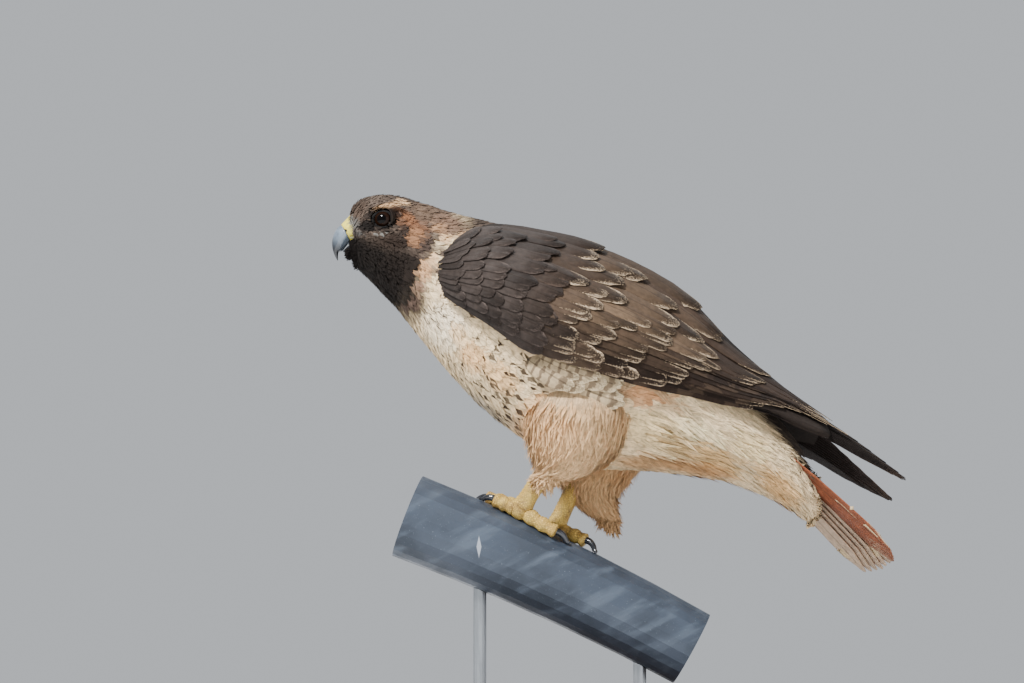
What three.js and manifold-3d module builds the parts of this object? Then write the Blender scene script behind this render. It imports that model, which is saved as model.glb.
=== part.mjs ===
// A life-size red-tailed hawk perched on a cut length of curved pipe, held by a plain display stand.
// Millimetres, +Z up. The bird faces -X, and its left side is towards -Y.
// While it is drawn, x = 0 is the middle of the perch and z = 0 is the underside of the base.
// The last lines move everything so that the origin is the bottom centre of the whole model.

import * as THREE from 'three';
import { mergeVertices } from 'three/addons/utils/BufferGeometryUtils.js';
import Module from 'manifold-3d';

const wasm = await Module();
wasm.setup();

// Driving dimensions

const GAP = 0.3;                     // clearance between touching pieces
const LEFT = -1;                     // the bird's left side, towards -Y
const RIGHT = 1;

const BASE_LENGTH = 300;
const BASE_WIDTH = 200;
const BASE_THICKNESS = 18;
const BASE_CORNER = 24;
const BASE_CENTRE_X = 25;
const ROD_RADIUS = 5;
const ROD_X = { front: -62, rear: 60 };

const PERCH_RADIUS = 31.1;           // pipe radius under the feet
const PERCH_TAPER = 0.0138;          // loss of radius for each mm along the pipe
const PERCH_BEND_RADIUS = 1700;
const PERCH_SLOPE = THREE.MathUtils.degToRad(25.3);
const PERCH_HEIGHT = 123.6;          // height of the pipe's axis at x = 0
const PERCH_FROM = -128;             // ends of the cut length, along its axis
const PERCH_TO = 112;
const PERCH_END_RECESS = 3;
const PERCH_WALL = 4;

const BODY_SIDES = 24;               // points round the body
const BODY_STEPS = 26;               // and steps along it
const UPPER_NARROWING = 0.26;        // share of its width that a section loses towards its top
const EYE_RADIUS = 8.8;
const EYE_CENTRE = [-137, 20.5, 402.2];
const LID_RADIUS = 7.6;
const LID_THICKNESS = 1.4;

const FAR_TIP_DROP = 11;             // the right wing's tip hangs lower than the left one
const FAR_TIP_SHORT = 2;

const CORE_END = 0.72;               // share of the wing's length that the core takes up
const CORE_THICK = 16;               // at the shoulder
const CORE_END_THICK = 8.5;
const CORE_DEPTH = 0.7;              // the core lies this far under the feathers' surface
const WING_BOW_RADIUS = 80;          // of a vane, across it
const VANE_TILT = 0.5;               // the lower edge of a vane is this much higher than its middle
const VANE_SHARE = 0.64;             // half width of a vane, over the distance to the next one
const VANE_THICKNESS = 0.6;
const BLADES = 6;                    // long flight feathers that reach past the core
const BLADE_LAYER = 1.1;             // step down from each of them to the next

const TAIL_LENGTH = 157;             // from the root of the feathers to the longest tip
const TAIL_FEATHERS = 12;
const TAIL_HALF_WIDTH = 10.5;        // of one feather
const TAIL_LAYER = 1.4;              // step down from each feather to the next one out
const TAIL_SPACING = 5.2;            // between feathers at their tips
const TAIL_SAG = 5;                  // of the tips
const TAIL_ROOT = [137, 0, 252];
const TAIL_DROOP = THREE.MathUtils.degToRad(42.3);
const TAIL_ROLL = THREE.MathUtils.degToRad(17);

// Body sections from the head to the end of the tail coverts:
// top x, top z, bottom x, bottom z, half width
const BODY = [
  [-168, 410, -160, 379, 12.5],
  [-164, 417, -160, 373, 18],
  [-156, 424, -157, 366, 24],
  [-141, 427, -150, 360, 29],
  [-126, 426, -138, 347, 32],
  [-108, 420, -123, 331, 34],
  [-89, 413, -106, 310, 40],
  [-66, 407, -86, 286, 50],
  [-39, 400, -62, 260, 60],
  [-8, 392, -37, 240, 66],
  [24, 383, -10, 223, 68],
  [55, 367, 23, 212, 66],
  [85, 346, 62, 210, 60],
  [113, 315, 100, 206, 52],
  [138, 280, 135, 200, 43],
  [161, 255, 166, 188, 34],
  [178, 235, 185, 176, 24],
  [190, 214, 198, 165, 12],
];
const HEAD_FROM = 0;                 // where one part of the body ends and the next begins,
const HEAD_TO = 4.7;                 // counted in the sections above
const NECK_TO = 7;
const TORSO_TO = 14.4;
const BODY_END = 17;

// Bill sections, from the root to the tip, written as the body's are
const CERE = [
  [-162.0, 413.5, -152.0, 389.8, 14],
  [-166.8, 408.3, -159.4, 389.7, 10.5],
  [-171.7, 403.1, -164.0, 389.5, 8.2],
];
const UPPER_BILL = [
  [-171.9, 402.8, -164.2, 389.3, 8.0],
  [-175.4, 399.1, -166.6, 387.1, 7.2],
  [-177.6, 394.7, -168.9, 383.9, 6.0],
  [-178.8, 389.1, -170.9, 381.7, 4.6],
  [-178.3, 383.5, -173.4, 380.9, 3.2],
  [-176.8, 378.9, -173.9, 378.6, 1.9],
  [-175.3, 375.8, -173.9, 376.0, 0.9],
  [-174.4, 374.3, -173.9, 374.5, 0.3],
];
const LOWER_BILL = [
  [-150.0, 390.6, -152.0, 381.5, 12],
  [-155.7, 389.6, -156.5, 381.1, 9],
  [-161.5, 388.4, -163.0, 380.9, 7.4],
  [-165.8, 386.1, -166.9, 380.6, 5.4],
  [-168.5, 383.5, -168.9, 380.6, 3.0],
  [-170.0, 382.0, -170.0, 381.2, 0.6],
];

// Wing sections from the front edge to the tip. Each row holds the upper edge, the middle and
// the lower edge of the folded left wing as x, y, z
const WING = [
  [-80, -38, 384, -90, -50, 360, -84, -52, 334],
  [-54, -20, 401, -59, -72, 355, -50, -72, 313],
  [-16, -12, 397, -24, -80, 342, -17, -78, 293],
  [23, -8, 388, 13, -81, 326, 21, -78, 280],
  [62, -6, 371, 51, -74, 311, 58, -72, 269],
  [101, -6, 345, 89, -63, 294, 96, -62, 262],
  [135, -6, 309, 127, -50, 276, 134, -54, 253],
  [169, -6, 279, 166, -38, 262, 165, -50, 248],
  [206, -6, 250, 204, -28, 242, 204, -45, 233],
  [236, -9, 230, 235, -27, 223, 234, -40, 217],
  [258, -18, 209, 261, -27, 206, 259, -35, 202],
];

// Legs: x, y, z and the half sizes along x and y, from the body down
const THIGH = {
  left: [
    [16, -34, 266, 28, 24],
    [14, -40, 248, 38, 27],
    [11, -39, 230, 35, 25],
    [8, -34, 215, 28, 19],
    [3, -29, 205, 18, 12],
    [-8, -25, 199, 9, 8],
  ],
  right: [
    [24, 34, 262, 28, 24],
    [30, 40, 238, 36, 27],
    [31, 38, 220, 33, 24],
    [28, 33, 204, 25, 18],
    [26, 29, 191, 17, 12],
    [32, 28, 180, 9, 7],
    [38, 29, 172, 3, 3],
  ],
};
const TARSUS_RADIUS = 6;
const TARSUS = {
  left: [[-7, -27, 215], [-28, -15, 181]],
  right: [[15, 26, 206], [-3, 16, 169]],
};

// Toes: where each runs over the pipe, from the foot's middle to its claw.
// Along is mm down the pipe from x = 0, and turn is degrees from its top, plus to the right
const FOOT_MIDDLE = {
  left: { along: -50, turn: -18 },
  right: { along: -20, turn: 24 },
};
const TOES = {
  left: {
    hallux: { along: -20, turn: -30, swing: -10, claw: 27 },
    inner: { along: -60, turn: 36, swing: 6, claw: 25 },
    middle: { along: -76, turn: 13, swing: 4, claw: 22 },
    outer: { along: -70, turn: -17, swing: -5, claw: 20 },
  },
  right: {
    hallux: { along: 3, turn: -2, swing: -6, claw: 27 },
    inner: { along: -40, turn: 50, swing: 0, claw: 25 },
    middle: { along: -33, turn: 116, swing: 8, claw: 27 },
    outer: { along: 0, turn: 84, swing: 4, claw: 22 },
  },
};
const TOE_RADIUS = 5.8;
const TOE_END_RADIUS = 4.8;
const CLAW_ROOT_RADIUS = 2.9;
const CLAW_GAP = 1.3;
const FOOT_RADIUS = 8.5;

// Finishes, from the photograph

const FINISH = {
  wood: ['#5c4330', 0.55, 0],
  steel: ['#8d9298', 0.35, 0.9],
  pipe: ['#4c5563', 0.6, 0.4],
  breast: ['#d9c3a4', 0.9, 0],
  nape: ['#6e5240', 0.9, 0],
  face: ['#3a2f2b', 0.85, 0],
  cere: ['#e3d36b', 0.45, 0],
  bill: ['#3c444d', 0.3, 0],
  eye: ['#1a0f0a', 0.08, 0],
  wing: ['#41332b', 0.85, 0],
  tail: ['#a9603c', 0.85, 0],
  thigh: ['#d8b48e', 0.95, 0],
  skin: ['#cdb35a', 0.6, 0],
  claw: ['#15151a', 0.25, 0],
};

// Small helpers

const vec = (x, y, z) => new THREE.Vector3(x, y, z);
const radians = THREE.MathUtils.degToRad;
const mix = THREE.MathUtils.lerp;
const count = (n) => Array.from({ length: n }, (_, i) => i);

// The row of numbers at place s in a table, on a smooth curve through its rows
function rowAt(rows, s) {
  const last = rows.length - 1;
  const i = Math.min(Math.floor(s), last - 1);
  const t = s - i;
  const before = rows[Math.max(i - 1, 0)];
  const after = rows[Math.min(i + 2, last)];
  return rows[i].map((a, k) => {
    const b = rows[i + 1][k];
    const leave = (b - before[k]) / 2;
    const arrive = (after[k] - a) / 2;
    const bend = 2 * (a - b) + leave + arrive;
    return a + leave * t + (3 * (b - a) - 2 * leave - arrive) * t * t + bend * t * t * t;
  });
}

function volumeOf(points, faces) {
  let six = 0;
  for (const [a, b, c] of faces) {
    six += points[a].dot(points[b].clone().cross(points[c]));
  }
  return six / 6;
}

// A closed triangle shell as a solid, turned so that its faces point out
function solidFrom(points, faces) {
  const turned = volumeOf(points, faces) < 0 ? faces.map(([a, b, c]) => [a, c, b]) : faces;
  return new wasm.Manifold(new wasm.Mesh({
    numProp: 3,
    vertProperties: new Float32Array(points.flatMap((p) => p.toArray())),
    triVerts: new Uint32Array(turned.flat()),
  }));
}

// A closed three.js geometry as a solid
function solidFromGeometry(geometry) {
  geometry.deleteAttribute('normal');
  geometry.deleteAttribute('uv');
  const merged = mergeVertices(geometry, 1e-4);
  const at = merged.attributes.position;
  const points = count(at.count).map((i) => vec().fromBufferAttribute(at, i));
  const index = merged.index.array;
  const faces = [];
  for (let i = 0; i < index.length; i += 3) {
    const face = [index[i], index[i + 1], index[i + 2]];
    if (new Set(face).size === 3) faces.push(face);
  }
  return solidFrom(points, faces);
}

// A tube of rings with the same number of points, closed at both ends
function solidFromRings(rings) {
  const n = rings[0].length;
  const points = rings.flat();
  const faces = [];
  for (let r = 0; r < rings.length - 1; r += 1) {
    for (let k = 0; k < n; k += 1) {
      const a = r * n + k;
      const b = r * n + ((k + 1) % n);
      faces.push([a, b, b + n], [a, b + n, a + n]);
    }
  }
  const close = (start, back) => {
    const middle = points.length;
    points.push(rings[start].reduce((sum, p) => sum.add(p), vec(0, 0, 0)).divideScalar(n));
    for (let k = 0; k < n; k += 1) {
      const a = start * n + k;
      const b = start * n + ((k + 1) % n);
      faces.push(back ? [middle, b, a] : [middle, a, b]);
    }
  };
  close(0, true);
  close(rings.length - 1, false);
  return solidFrom(points, faces);
}

// A thin curved plate between two grids of points, split into triangles alike on both faces
function solidFromSheets(outer, inner) {
  const rows = outer.length;
  const columns = outer[0].length;
  const points = [...outer.flat(), ...inner.flat()];
  const under = rows * columns;
  const at = (r, c) => r * columns + c;
  const faces = [];
  for (let r = 0; r < rows - 1; r += 1) {
    for (let c = 0; c < columns - 1; c += 1) {
      const [a, b, d, e] = [at(r, c), at(r, c + 1), at(r + 1, c + 1), at(r + 1, c)];
      faces.push([a, b, d], [a, d, e]);
      faces.push([a + under, d + under, b + under], [a + under, e + under, d + under]);
    }
  }
  const rim = [
    ...count(columns).map((c) => at(0, c)),
    ...count(rows - 1).map((r) => at(r + 1, columns - 1)),
    ...count(columns - 1).map((c) => at(rows - 1, columns - 2 - c)),
    ...count(rows - 2).map((r) => at(rows - 2 - r, 0)),
  ];
  rim.forEach((a, k) => {
    const b = rim[(k + 1) % rim.length];
    faces.push([b, a, a + under], [b, a + under, b + under]);
  });
  return solidFrom(points, faces);
}

const fuse = (solids) => solids.reduce((all, next) => all.add(next));
const cutAll = (solid, cutters) => cutters.reduce((rest, cutter) => rest.subtract(cutter), solid);

// The largest closed surface of a solid, without loose scraps
function largest(solid) {
  return solid.decompose().reduce((best, next) => (next.volume() > best.volume() ? next : best));
}

const group = new THREE.Group();

function addNode(name, finish, solid) {
  const { vertProperties, triVerts } = largest(solid).getMesh();
  const geometry = new THREE.BufferGeometry();
  geometry.setAttribute('position', new THREE.BufferAttribute(vertProperties, 3));
  geometry.setIndex(new THREE.BufferAttribute(triVerts, 1));
  geometry.computeVertexNormals();
  const [color, roughness, metalness] = FINISH[finish];
  const mesh = new THREE.Mesh(geometry, new THREE.MeshStandardMaterial({ color, roughness, metalness }));
  mesh.name = name;
  group.add(mesh);
}

// A round tube through rows of x, y, z and radius
function tube(rows, sides, steps, grow = 0) {
  const places = count(steps + 1).map((i) => rowAt(rows, (i / steps) * (rows.length - 1)));
  const centres = places.map(([x, y, z]) => vec(x, y, z));
  const rings = places.map((row, i) => {
    const ahead = centres[Math.min(i + 1, steps)].clone().sub(centres[Math.max(i - 1, 0)]).normalize();
    const side = Math.abs(ahead.y) > 0.9 ? vec(0, 0, 1) : vec(0, 1, 0);
    const across = side.clone().addScaledVector(ahead, -side.dot(ahead)).normalize();
    const up = across.clone().cross(ahead);
    const centre = centres[i].clone();
    if (i === 0) centre.addScaledVector(ahead, -grow);
    if (i === steps) centre.addScaledVector(ahead, grow);
    return count(sides).map((k) => {
      const turn = (k / sides) * 2 * Math.PI;
      return centre.clone()
        .addScaledVector(across, (row[3] + grow) * Math.cos(turn))
        .addScaledVector(up, (row[3] + grow) * Math.sin(turn));
    });
  });
  return solidFromRings(rings);
}

// The stand

function standBase() {
  const w = BASE_LENGTH / 2 - BASE_CORNER;
  const d = BASE_WIDTH / 2 - BASE_CORNER;
  const outline = new THREE.Shape();
  outline.absarc(w, d, BASE_CORNER, 0, Math.PI / 2);
  outline.absarc(-w, d, BASE_CORNER, Math.PI / 2, Math.PI);
  outline.absarc(-w, -d, BASE_CORNER, Math.PI, 1.5 * Math.PI);
  outline.absarc(w, -d, BASE_CORNER, 1.5 * Math.PI, 2 * Math.PI);
  const plate = new THREE.ExtrudeGeometry(outline, {
    depth: BASE_THICKNESS,
    bevelEnabled: false,
    curveSegments: 6,
  });
  plate.translate(BASE_CENTRE_X, 0, 0);
  return solidFromGeometry(plate);
}

function standRod(x) {
  const foot = BASE_THICKNESS + GAP;
  const rod = new THREE.CylinderGeometry(ROD_RADIUS, ROD_RADIUS, PERCH_HEIGHT, 16);
  rod.rotateX(Math.PI / 2);
  rod.translate(x, 0, foot + PERCH_HEIGHT / 2);
  const top = perch(GAP);
  const below = solidFromGeometry(rod).subtract(top);
  return below.decompose().reduce((a, b) => (a.boundingBox().min[2] < b.boundingBox().min[2] ? a : b));
}

// The perch

// Place, direction and radius at a distance along the pipe's axis
function perchAt(along) {
  const slope = PERCH_SLOPE + along / PERCH_BEND_RADIUS;
  return {
    centre: vec(
      PERCH_BEND_RADIUS * (Math.sin(slope) - Math.sin(PERCH_SLOPE)),
      0,
      PERCH_HEIGHT + PERCH_BEND_RADIUS * (Math.cos(slope) - Math.cos(PERCH_SLOPE)),
    ),
    ahead: vec(Math.cos(slope), 0, -Math.sin(slope)),
    up: vec(Math.sin(slope), 0, Math.cos(slope)),
    radius: PERCH_RADIUS - PERCH_TAPER * along,
  };
}

// A point above the pipe's surface, at a distance along it and a turn from its top in degrees
function onPerch(along, turn, above) {
  const { centre, up, radius } = perchAt(along);
  return centre.clone()
    .addScaledVector(up, (radius + above) * Math.cos(radians(turn)))
    .addScaledVector(vec(0, 1, 0), (radius + above) * Math.sin(radians(turn)));
}

function perchTube(from, to, steps, above) {
  const sides = 24;
  return solidFromRings(count(steps + 1).map((i) => {
    const along = mix(from, to, i / steps);
    return count(sides).map((k) => onPerch(along, (k / sides) * 360, above));
  }));
}

function perch(grow = 0) {
  const pipe = perchTube(PERCH_FROM - grow, PERCH_TO + grow, 5, grow);
  if (grow > 0) return pipe;
  const recess = PERCH_END_RECESS;
  return cutAll(pipe, [
    perchTube(PERCH_FROM - recess, PERCH_FROM + recess, 1, -PERCH_WALL),
    perchTube(PERCH_TO - recess, PERCH_TO + recess, 1, -PERCH_WALL),
  ]);
}

// The body

// Loft of sections written as top x, top z, bottom x, bottom z and half width
function sectionLoft(rows, from, to, steps, sides, grow = 0) {
  const rings = count(steps + 1).map((i) => {
    const [topX, topZ, bottomX, bottomZ, half] = rowAt(rows, mix(from, to, i / steps));
    const top = vec(topX, 0, topZ);
    const bottom = vec(bottomX, 0, bottomZ);
    const centre = top.clone().add(bottom).multiplyScalar(0.5);
    const rise = top.clone().sub(bottom).multiplyScalar(0.5);
    const height = rise.length();
    rise.normalize();
    return count(sides).map((k) => {
      const turn = (k / sides) * 2 * Math.PI;
      const width = half * (1 - UPPER_NARROWING * Math.max(0, Math.cos(turn)));
      return centre.clone()
        .addScaledVector(rise, (height + grow) * Math.cos(turn))
        .addScaledVector(vec(0, 1, 0), (width + grow) * Math.sin(turn));
    });
  });
  moveEnds(rings, grow);
  return solidFromRings(rings);
}

// Moves the first and the last ring outwards along the axis, or inwards where the distance is negative
function moveEnds(rings, first, last = first) {
  const middle = (ring) => ring.reduce((sum, p) => sum.add(p), vec(0, 0, 0)).divideScalar(ring.length);
  const facing = (ring, other) => {
    const normal = ring[1].clone().sub(ring[0]).cross(ring[Math.floor(ring.length / 2)].clone().sub(ring[0]));
    normal.normalize();
    return normal.dot(middle(ring).sub(middle(other))) < 0 ? normal.negate() : normal;
  };
  const n = rings.length - 1;
  const front = facing(rings[0], rings[1]).multiplyScalar(first);
  const back = facing(rings[n], rings[n - 1]).multiplyScalar(last);
  rings[0].forEach((p) => p.add(front));
  rings[n].forEach((p) => p.add(back));
}

const wholeBody = (grow = 0) => sectionLoft(BODY, HEAD_FROM, BODY_END, BODY_STEPS, BODY_SIDES, grow);

// A thin slab across the body at one of its sections, which parts two of its pieces
function partingSlab(at) {
  const [topX, topZ, bottomX, bottomZ] = rowAt(BODY, at);
  const rise = vec(topX - bottomX, 0, topZ - bottomZ);
  const slab = new THREE.BoxGeometry(GAP, 200, 400);
  slab.rotateY(Math.atan2(rise.x, rise.z));
  slab.translate((topX + bottomX) / 2, 0, (topZ + bottomZ) / 2);
  return solidFromGeometry(slab);
}

// One solid of the whole length, split at its sections. Pieces come in order from the head
function bodyPieces() {
  const parts = cutAll(wholeBody(), [HEAD_TO, NECK_TO, TORSO_TO].map(partingSlab)).decompose();
  const front = (solid) => solid.boundingBox().min[0];
  return parts.sort((a, b) => front(a) - front(b));
}

// The head and the bill

const cere = (grow = 0) => sectionLoft(CERE, 0, 2, 3, 12, grow);
const upperBill = (grow = 0) => sectionLoft(UPPER_BILL, 0, 7, 9, 12, grow);
const lowerBill = (grow = 0) => sectionLoft(LOWER_BILL, 0, 5, 5, 12, grow);

function eyeBall(side, grow = 0) {
  const [x, y, z] = EYE_CENTRE;
  const ball = new THREE.SphereGeometry(EYE_RADIUS + grow, 14, 8);
  ball.rotateX(Math.PI / 2);
  ball.translate(x, side * y, z);
  return solidFromGeometry(ball);
}

// A ring of bare skin round the eye, which faces out and a little forward
function lid(side) {
  const [x, y, z] = EYE_CENTRE;
  const out = vec(-0.26, side * 0.96, 0.06).normalize();
  const ring = new THREE.TorusGeometry(LID_RADIUS, LID_THICKNESS, 4, 12);
  ring.scale(1, 0.94, 1);
  ring.applyQuaternion(new THREE.Quaternion().setFromUnitVectors(vec(0, 0, 1), out));
  const reach = 6.2;
  ring.translate(x + out.x * reach, side * y + out.y * reach, z + out.z * reach);
  return solidFromGeometry(ring);
}

// The bony ridge that shades the eye
function brow(side) {
  return tube([
    [-158, side * 15, 402, 1.5],
    [-150, side * 23, 407, 3.2],
    [-140, side * 26.5, 411, 3.8],
    [-129, side * 27, 412, 3.4],
    [-119, side * 26, 410, 1.5],
  ], 6, 5);
}

// The fleshy yellow edge of the mouth, which runs back under the eye
function gape(side) {
  return tube([
    [-158, side * 9, 389.5, 2],
    [-153, side * 17, 389, 1.9],
    [-146, side * 24, 389.4, 1.7],
    [-137, side * 28.2, 391, 1.1],
  ], 5, 5);
}

// The line of the mouth, under that edge
function mouthLine(side) {
  return tube([
    [-159, side * 13, 386.4, 0.6],
    [-152, side * 21.3, 386.2, 0.6],
    [-145, side * 27, 386.8, 0.6],
    [-137, side * 30, 388.6, 0.4],
  ], 4, 4);
}

function nostril(side) {
  const pit = new THREE.CapsuleGeometry(1.3, 1.6, 3, 8);
  pit.rotateZ(Math.PI / 2 - 0.4);
  pit.rotateX(Math.PI / 2);
  pit.translate(-167.2, side * 9.3, 395.8);
  return solidFromGeometry(pit);
}

// The legs

function thigh(side, grow = 0) {
  const rows = THIGH[side];
  const sides = 18;
  const steps = 10;
  const rings = count(steps + 1).map((i) => {
    const [x, y, z, halfX, halfY] = rowAt(rows, (i / steps) * (rows.length - 1));
    return count(sides).map((k) => {
      const turn = (k / sides) * 2 * Math.PI;
      return vec(x + (halfX + grow) * Math.cos(turn), y + (halfY + grow) * Math.sin(turn), z);
    });
  });
  moveEnds(rings, grow);
  return solidFromRings(rings);
}

// A raised plate: ahead runs along the limb and up points away from it
function scute(centre, ahead, up, length, width, height) {
  const across = ahead.clone().cross(up).normalize();
  const outward = across.clone().cross(ahead).normalize();
  const ring = (scale, lift) => [[-1, -1], [1, -1], [1, 1], [-1, 1]].map(([a, b]) => centre.clone()
    .addScaledVector(ahead, (length / 2) * scale * a)
    .addScaledVector(across, (width / 2) * scale * b)
    .addScaledVector(outward, lift));
  return solidFromRings([ring(1, -1.2), ring(0.8, height)]);
}

function tarsus(side) {
  const [top, foot] = TARSUS[side];
  const limb = tube([[...top, TARSUS_RADIUS], [...foot, TARSUS_RADIUS + 0.8]], 10, 2);
  const start = vec(...top);
  const ahead = vec(...foot).sub(start).normalize();
  const length = vec(...foot).distanceTo(start);
  const front = vec(-1, 0, 0).addScaledVector(ahead, ahead.x).normalize();
  const plates = count(5).map((i) => {
    const centre = start.clone()
      .addScaledVector(ahead, mix(length * 0.34, length * 0.84, i / 4))
      .addScaledVector(front, TARSUS_RADIUS);
    return scute(centre, ahead, front, 3.9, 8, 0.9);
  });
  return fuse([limb, ...plates]);
}

// The foot

// The way of one toe over the pipe: t is 0 in the foot's middle and 1 at the claw
function toeAt(side, name, t, lift = 0) {
  const middle = FOOT_MIDDLE[side];
  const toe = TOES[side][name];
  const radius = mix(TOE_RADIUS, TOE_END_RADIUS, t);
  const knuckle = 0.45 * Math.cos(t * 3 * 2 * Math.PI);
  const centre = onPerch(
    mix(middle.along, toe.along, t),
    mix(middle.turn, toe.turn, t) + toe.swing * t * (1 - t),
    GAP + radius * 0.96 + lift,
  );
  return { centre, radius: radius + knuckle };
}

function toe(side, name, grow = 0) {
  const rows = count(7).map((i) => {
    const { centre, radius } = toeAt(side, name, i / 6);
    return [...centre.toArray(), radius];
  });
  return tube(rows, 6, 6, grow);
}

function toeScutes(side, name) {
  return count(3).map((i) => {
    const t = mix(0.5, 0.9, i / 2);
    const { centre, radius } = toeAt(side, name, t);
    const ahead = toeAt(side, name, t + 0.05).centre.sub(toeAt(side, name, t - 0.05).centre).normalize();
    const up = toeAt(side, name, t, 1).centre.sub(centre);
    up.addScaledVector(ahead, -up.dot(ahead)).normalize();
    return scute(centre.clone().addScaledVector(up, radius - 0.3), ahead, up, 3.8, 6.4, 0.8);
  });
}

// The ball where the toes meet the leg
function footBall(side, grow = 0) {
  const { along, turn } = FOOT_MIDDLE[side];
  const ball = new THREE.SphereGeometry(FOOT_RADIUS + grow, 10, 6);
  ball.translate(...onPerch(along, turn, FOOT_RADIUS - 1.5).toArray());
  return solidFromGeometry(ball);
}

function foot(side, grow = 0) {
  const names = Object.keys(TOES[side]);
  const toes = names.map((name) => toe(side, name, grow));
  const plates = grow > 0 ? [] : names.flatMap((name) => toeScutes(side, name));
  return fuse([footBall(side, grow), ...toes, ...plates]);
}

// Moves a point out from the pipe until it is clear of it by a distance
function clearOfPerch(point, distance) {
  const bend = vec(-PERCH_BEND_RADIUS * Math.sin(PERCH_SLOPE), 0,
    PERCH_HEIGHT - PERCH_BEND_RADIUS * Math.cos(PERCH_SLOPE));
  const slope = Math.atan2(point.x - bend.x, point.z - bend.z);
  const axis = bend.add(vec(Math.sin(slope), 0, Math.cos(slope)).multiplyScalar(PERCH_BEND_RADIUS));
  const away = point.clone().sub(axis);
  const least = PERCH_RADIUS - PERCH_TAPER * (slope - PERCH_SLOPE) * PERCH_BEND_RADIUS + distance;
  return axis.addScaledVector(away.clone().normalize(), Math.max(least, away.length()));
}

// A curved claw that leaves its toe, bows away from the pipe and points down
function claw(side, name) {
  const toeEnd = toeAt(side, name, 1);
  const ahead = toeEnd.centre.clone().sub(toeAt(side, name, 5 / 6).centre).normalize();
  const out = toeAt(side, name, 1, 1).centre.sub(toeEnd.centre);
  out.addScaledVector(ahead, -out.dot(ahead)).normalize();
  const length = TOES[side][name].claw;
  const bend = radians(150);
  const arc = length / bend;
  const start = radians(-18);
  const rows = count(7).map((i) => {
    const t = i / 6;
    const turn = bend * t + start;
    const radius = mix(CLAW_ROOT_RADIUS, 0.35, t ** 1.3);
    const centre = toeEnd.centre.clone()
      .addScaledVector(ahead, CLAW_GAP + arc * (Math.sin(turn) - Math.sin(start)))
      .addScaledVector(out, arc * (Math.cos(turn) - Math.cos(start)) + 0.6);
    return [...clearOfPerch(centre, radius + 2 * GAP).toArray(), radius];
  });
  return tube(rows, 6, 6);
}

// The wings

// The wing's outer surface: s runs from the front edge (0) to the tip (1),
// and t from the upper edge (0) to the lower edge (1)
function wingAt(side, s, t) {
  const row = rowAt(WING, THREE.MathUtils.clamp(s, 0, 1) * (WING.length - 1));
  const [upper, middle, lower] = [row.slice(0, 3), row.slice(3, 6), row.slice(6, 9)].map((p) => vec(...p));
  const point = upper.multiplyScalar(2 * (t - 0.5) * (t - 1));
  point.addScaledVector(middle, 4 * t * (1 - t));
  point.addScaledVector(lower, 2 * t * (t - 0.5));
  if (side === RIGHT) {
    const bend = THREE.MathUtils.smoothstep(s, 0.5, 1);
    point.set(point.x - FAR_TIP_SHORT * bend, -point.y, point.z - FAR_TIP_DROP * bend);
  }
  return point;
}

// The surface's direction across the wing and away from the body, and its width there
function wingFrame(side, s, t) {
  const step = 0.01;
  const s0 = Math.min(s, 1 - step);
  const along = wingAt(side, s0 + step, t).sub(wingAt(side, s0, t)).normalize();
  const across = wingAt(side, s, t + step).sub(wingAt(side, s, t - step));
  const span = across.length() / (2 * step);
  across.normalize();
  const out = along.clone().cross(across).multiplyScalar(side).normalize();
  return { across, out, span };
}

// The arm and the closed stack of feathers, under the vanes
function wingCore(side) {
  const rows = 8;
  const columns = 5;
  const outer = [];
  const inner = [];
  for (let r = 0; r <= rows; r += 1) {
    const s = (CORE_END * r) / rows;
    const thick = mix(CORE_THICK, CORE_END_THICK, (s / CORE_END) ** 1.4) * Math.min(1, 0.35 + s * 6);
    outer.push([]);
    inner.push([]);
    for (let c = 0; c <= columns; c += 1) {
      const t = c / columns;
      const { out } = wingFrame(side, s, t);
      const point = wingAt(side, s, t).addScaledVector(out, -CORE_DEPTH);
      outer[r].push(point);
      inner[r].push(point.clone().addScaledVector(out, -thick));
    }
  }
  return solidFromSheets(outer, inner);
}

// A vane through stations along its length. Each gives its place [s, t], half width, lift,
// the lift of its lower edge over its middle, and thickness. Columns are its points across
function wingStrip(side, stations, columns) {
  const outer = [];
  const inner = [];
  stations.forEach(({ s, t, half, lift, tilt, thick }, r) => {
    const { across, out } = wingFrame(side, s, t);
    outer.push([]);
    inner.push([]);
    columns.forEach((c) => {
      const rise = lift + tilt * c - (half * c) ** 2 / (2 * WING_BOW_RADIUS);
      const point = wingAt(side, s, t).addScaledVector(across, half * c).addScaledVector(out, rise);
      outer[r].push(point);
      inner[r].push(point.clone().addScaledVector(out, -thick));
    });
  });
  return solidFromSheets(outer, inner);
}

// One tier of vanes, from the upper edge to the lower edge. Each rises steeply from its root
// in the core, then slowly to its tip over the next tier
function wingTier(side, { vanes, roots, tips, lifts }) {
  const shape = [[0, 0.4, -4.2], [0.14, 0.7, 0], [0.84, 1, 1], [1, 0.45, 1]];
  return count(vanes).map((i) => wingStrip(side, shape.map(([k, width, climb]) => {
    const place = i / (vanes - 1);
    const sAt = mix(mix(roots[0][0], roots[1][0], place), mix(tips[0][0], tips[1][0], place), k);
    const tAt = mix(mix(roots[0][1], roots[1][1], place), mix(tips[0][1], tips[1][1], place), k);
    const spacing = mix(roots[1][1] - roots[0][1], tips[1][1] - tips[0][1], k) / (vanes - 1);
    return {
      s: sAt,
      t: tAt,
      half: VANE_SHARE * width * spacing * wingFrame(side, sAt, tAt).span,
      lift: climb < 0 ? climb : mix(lifts[0], lifts[1], climb),
      tilt: VANE_TILT,
      thick: VANE_THICKNESS,
    };
  }), [-1, 1]));
}

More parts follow.
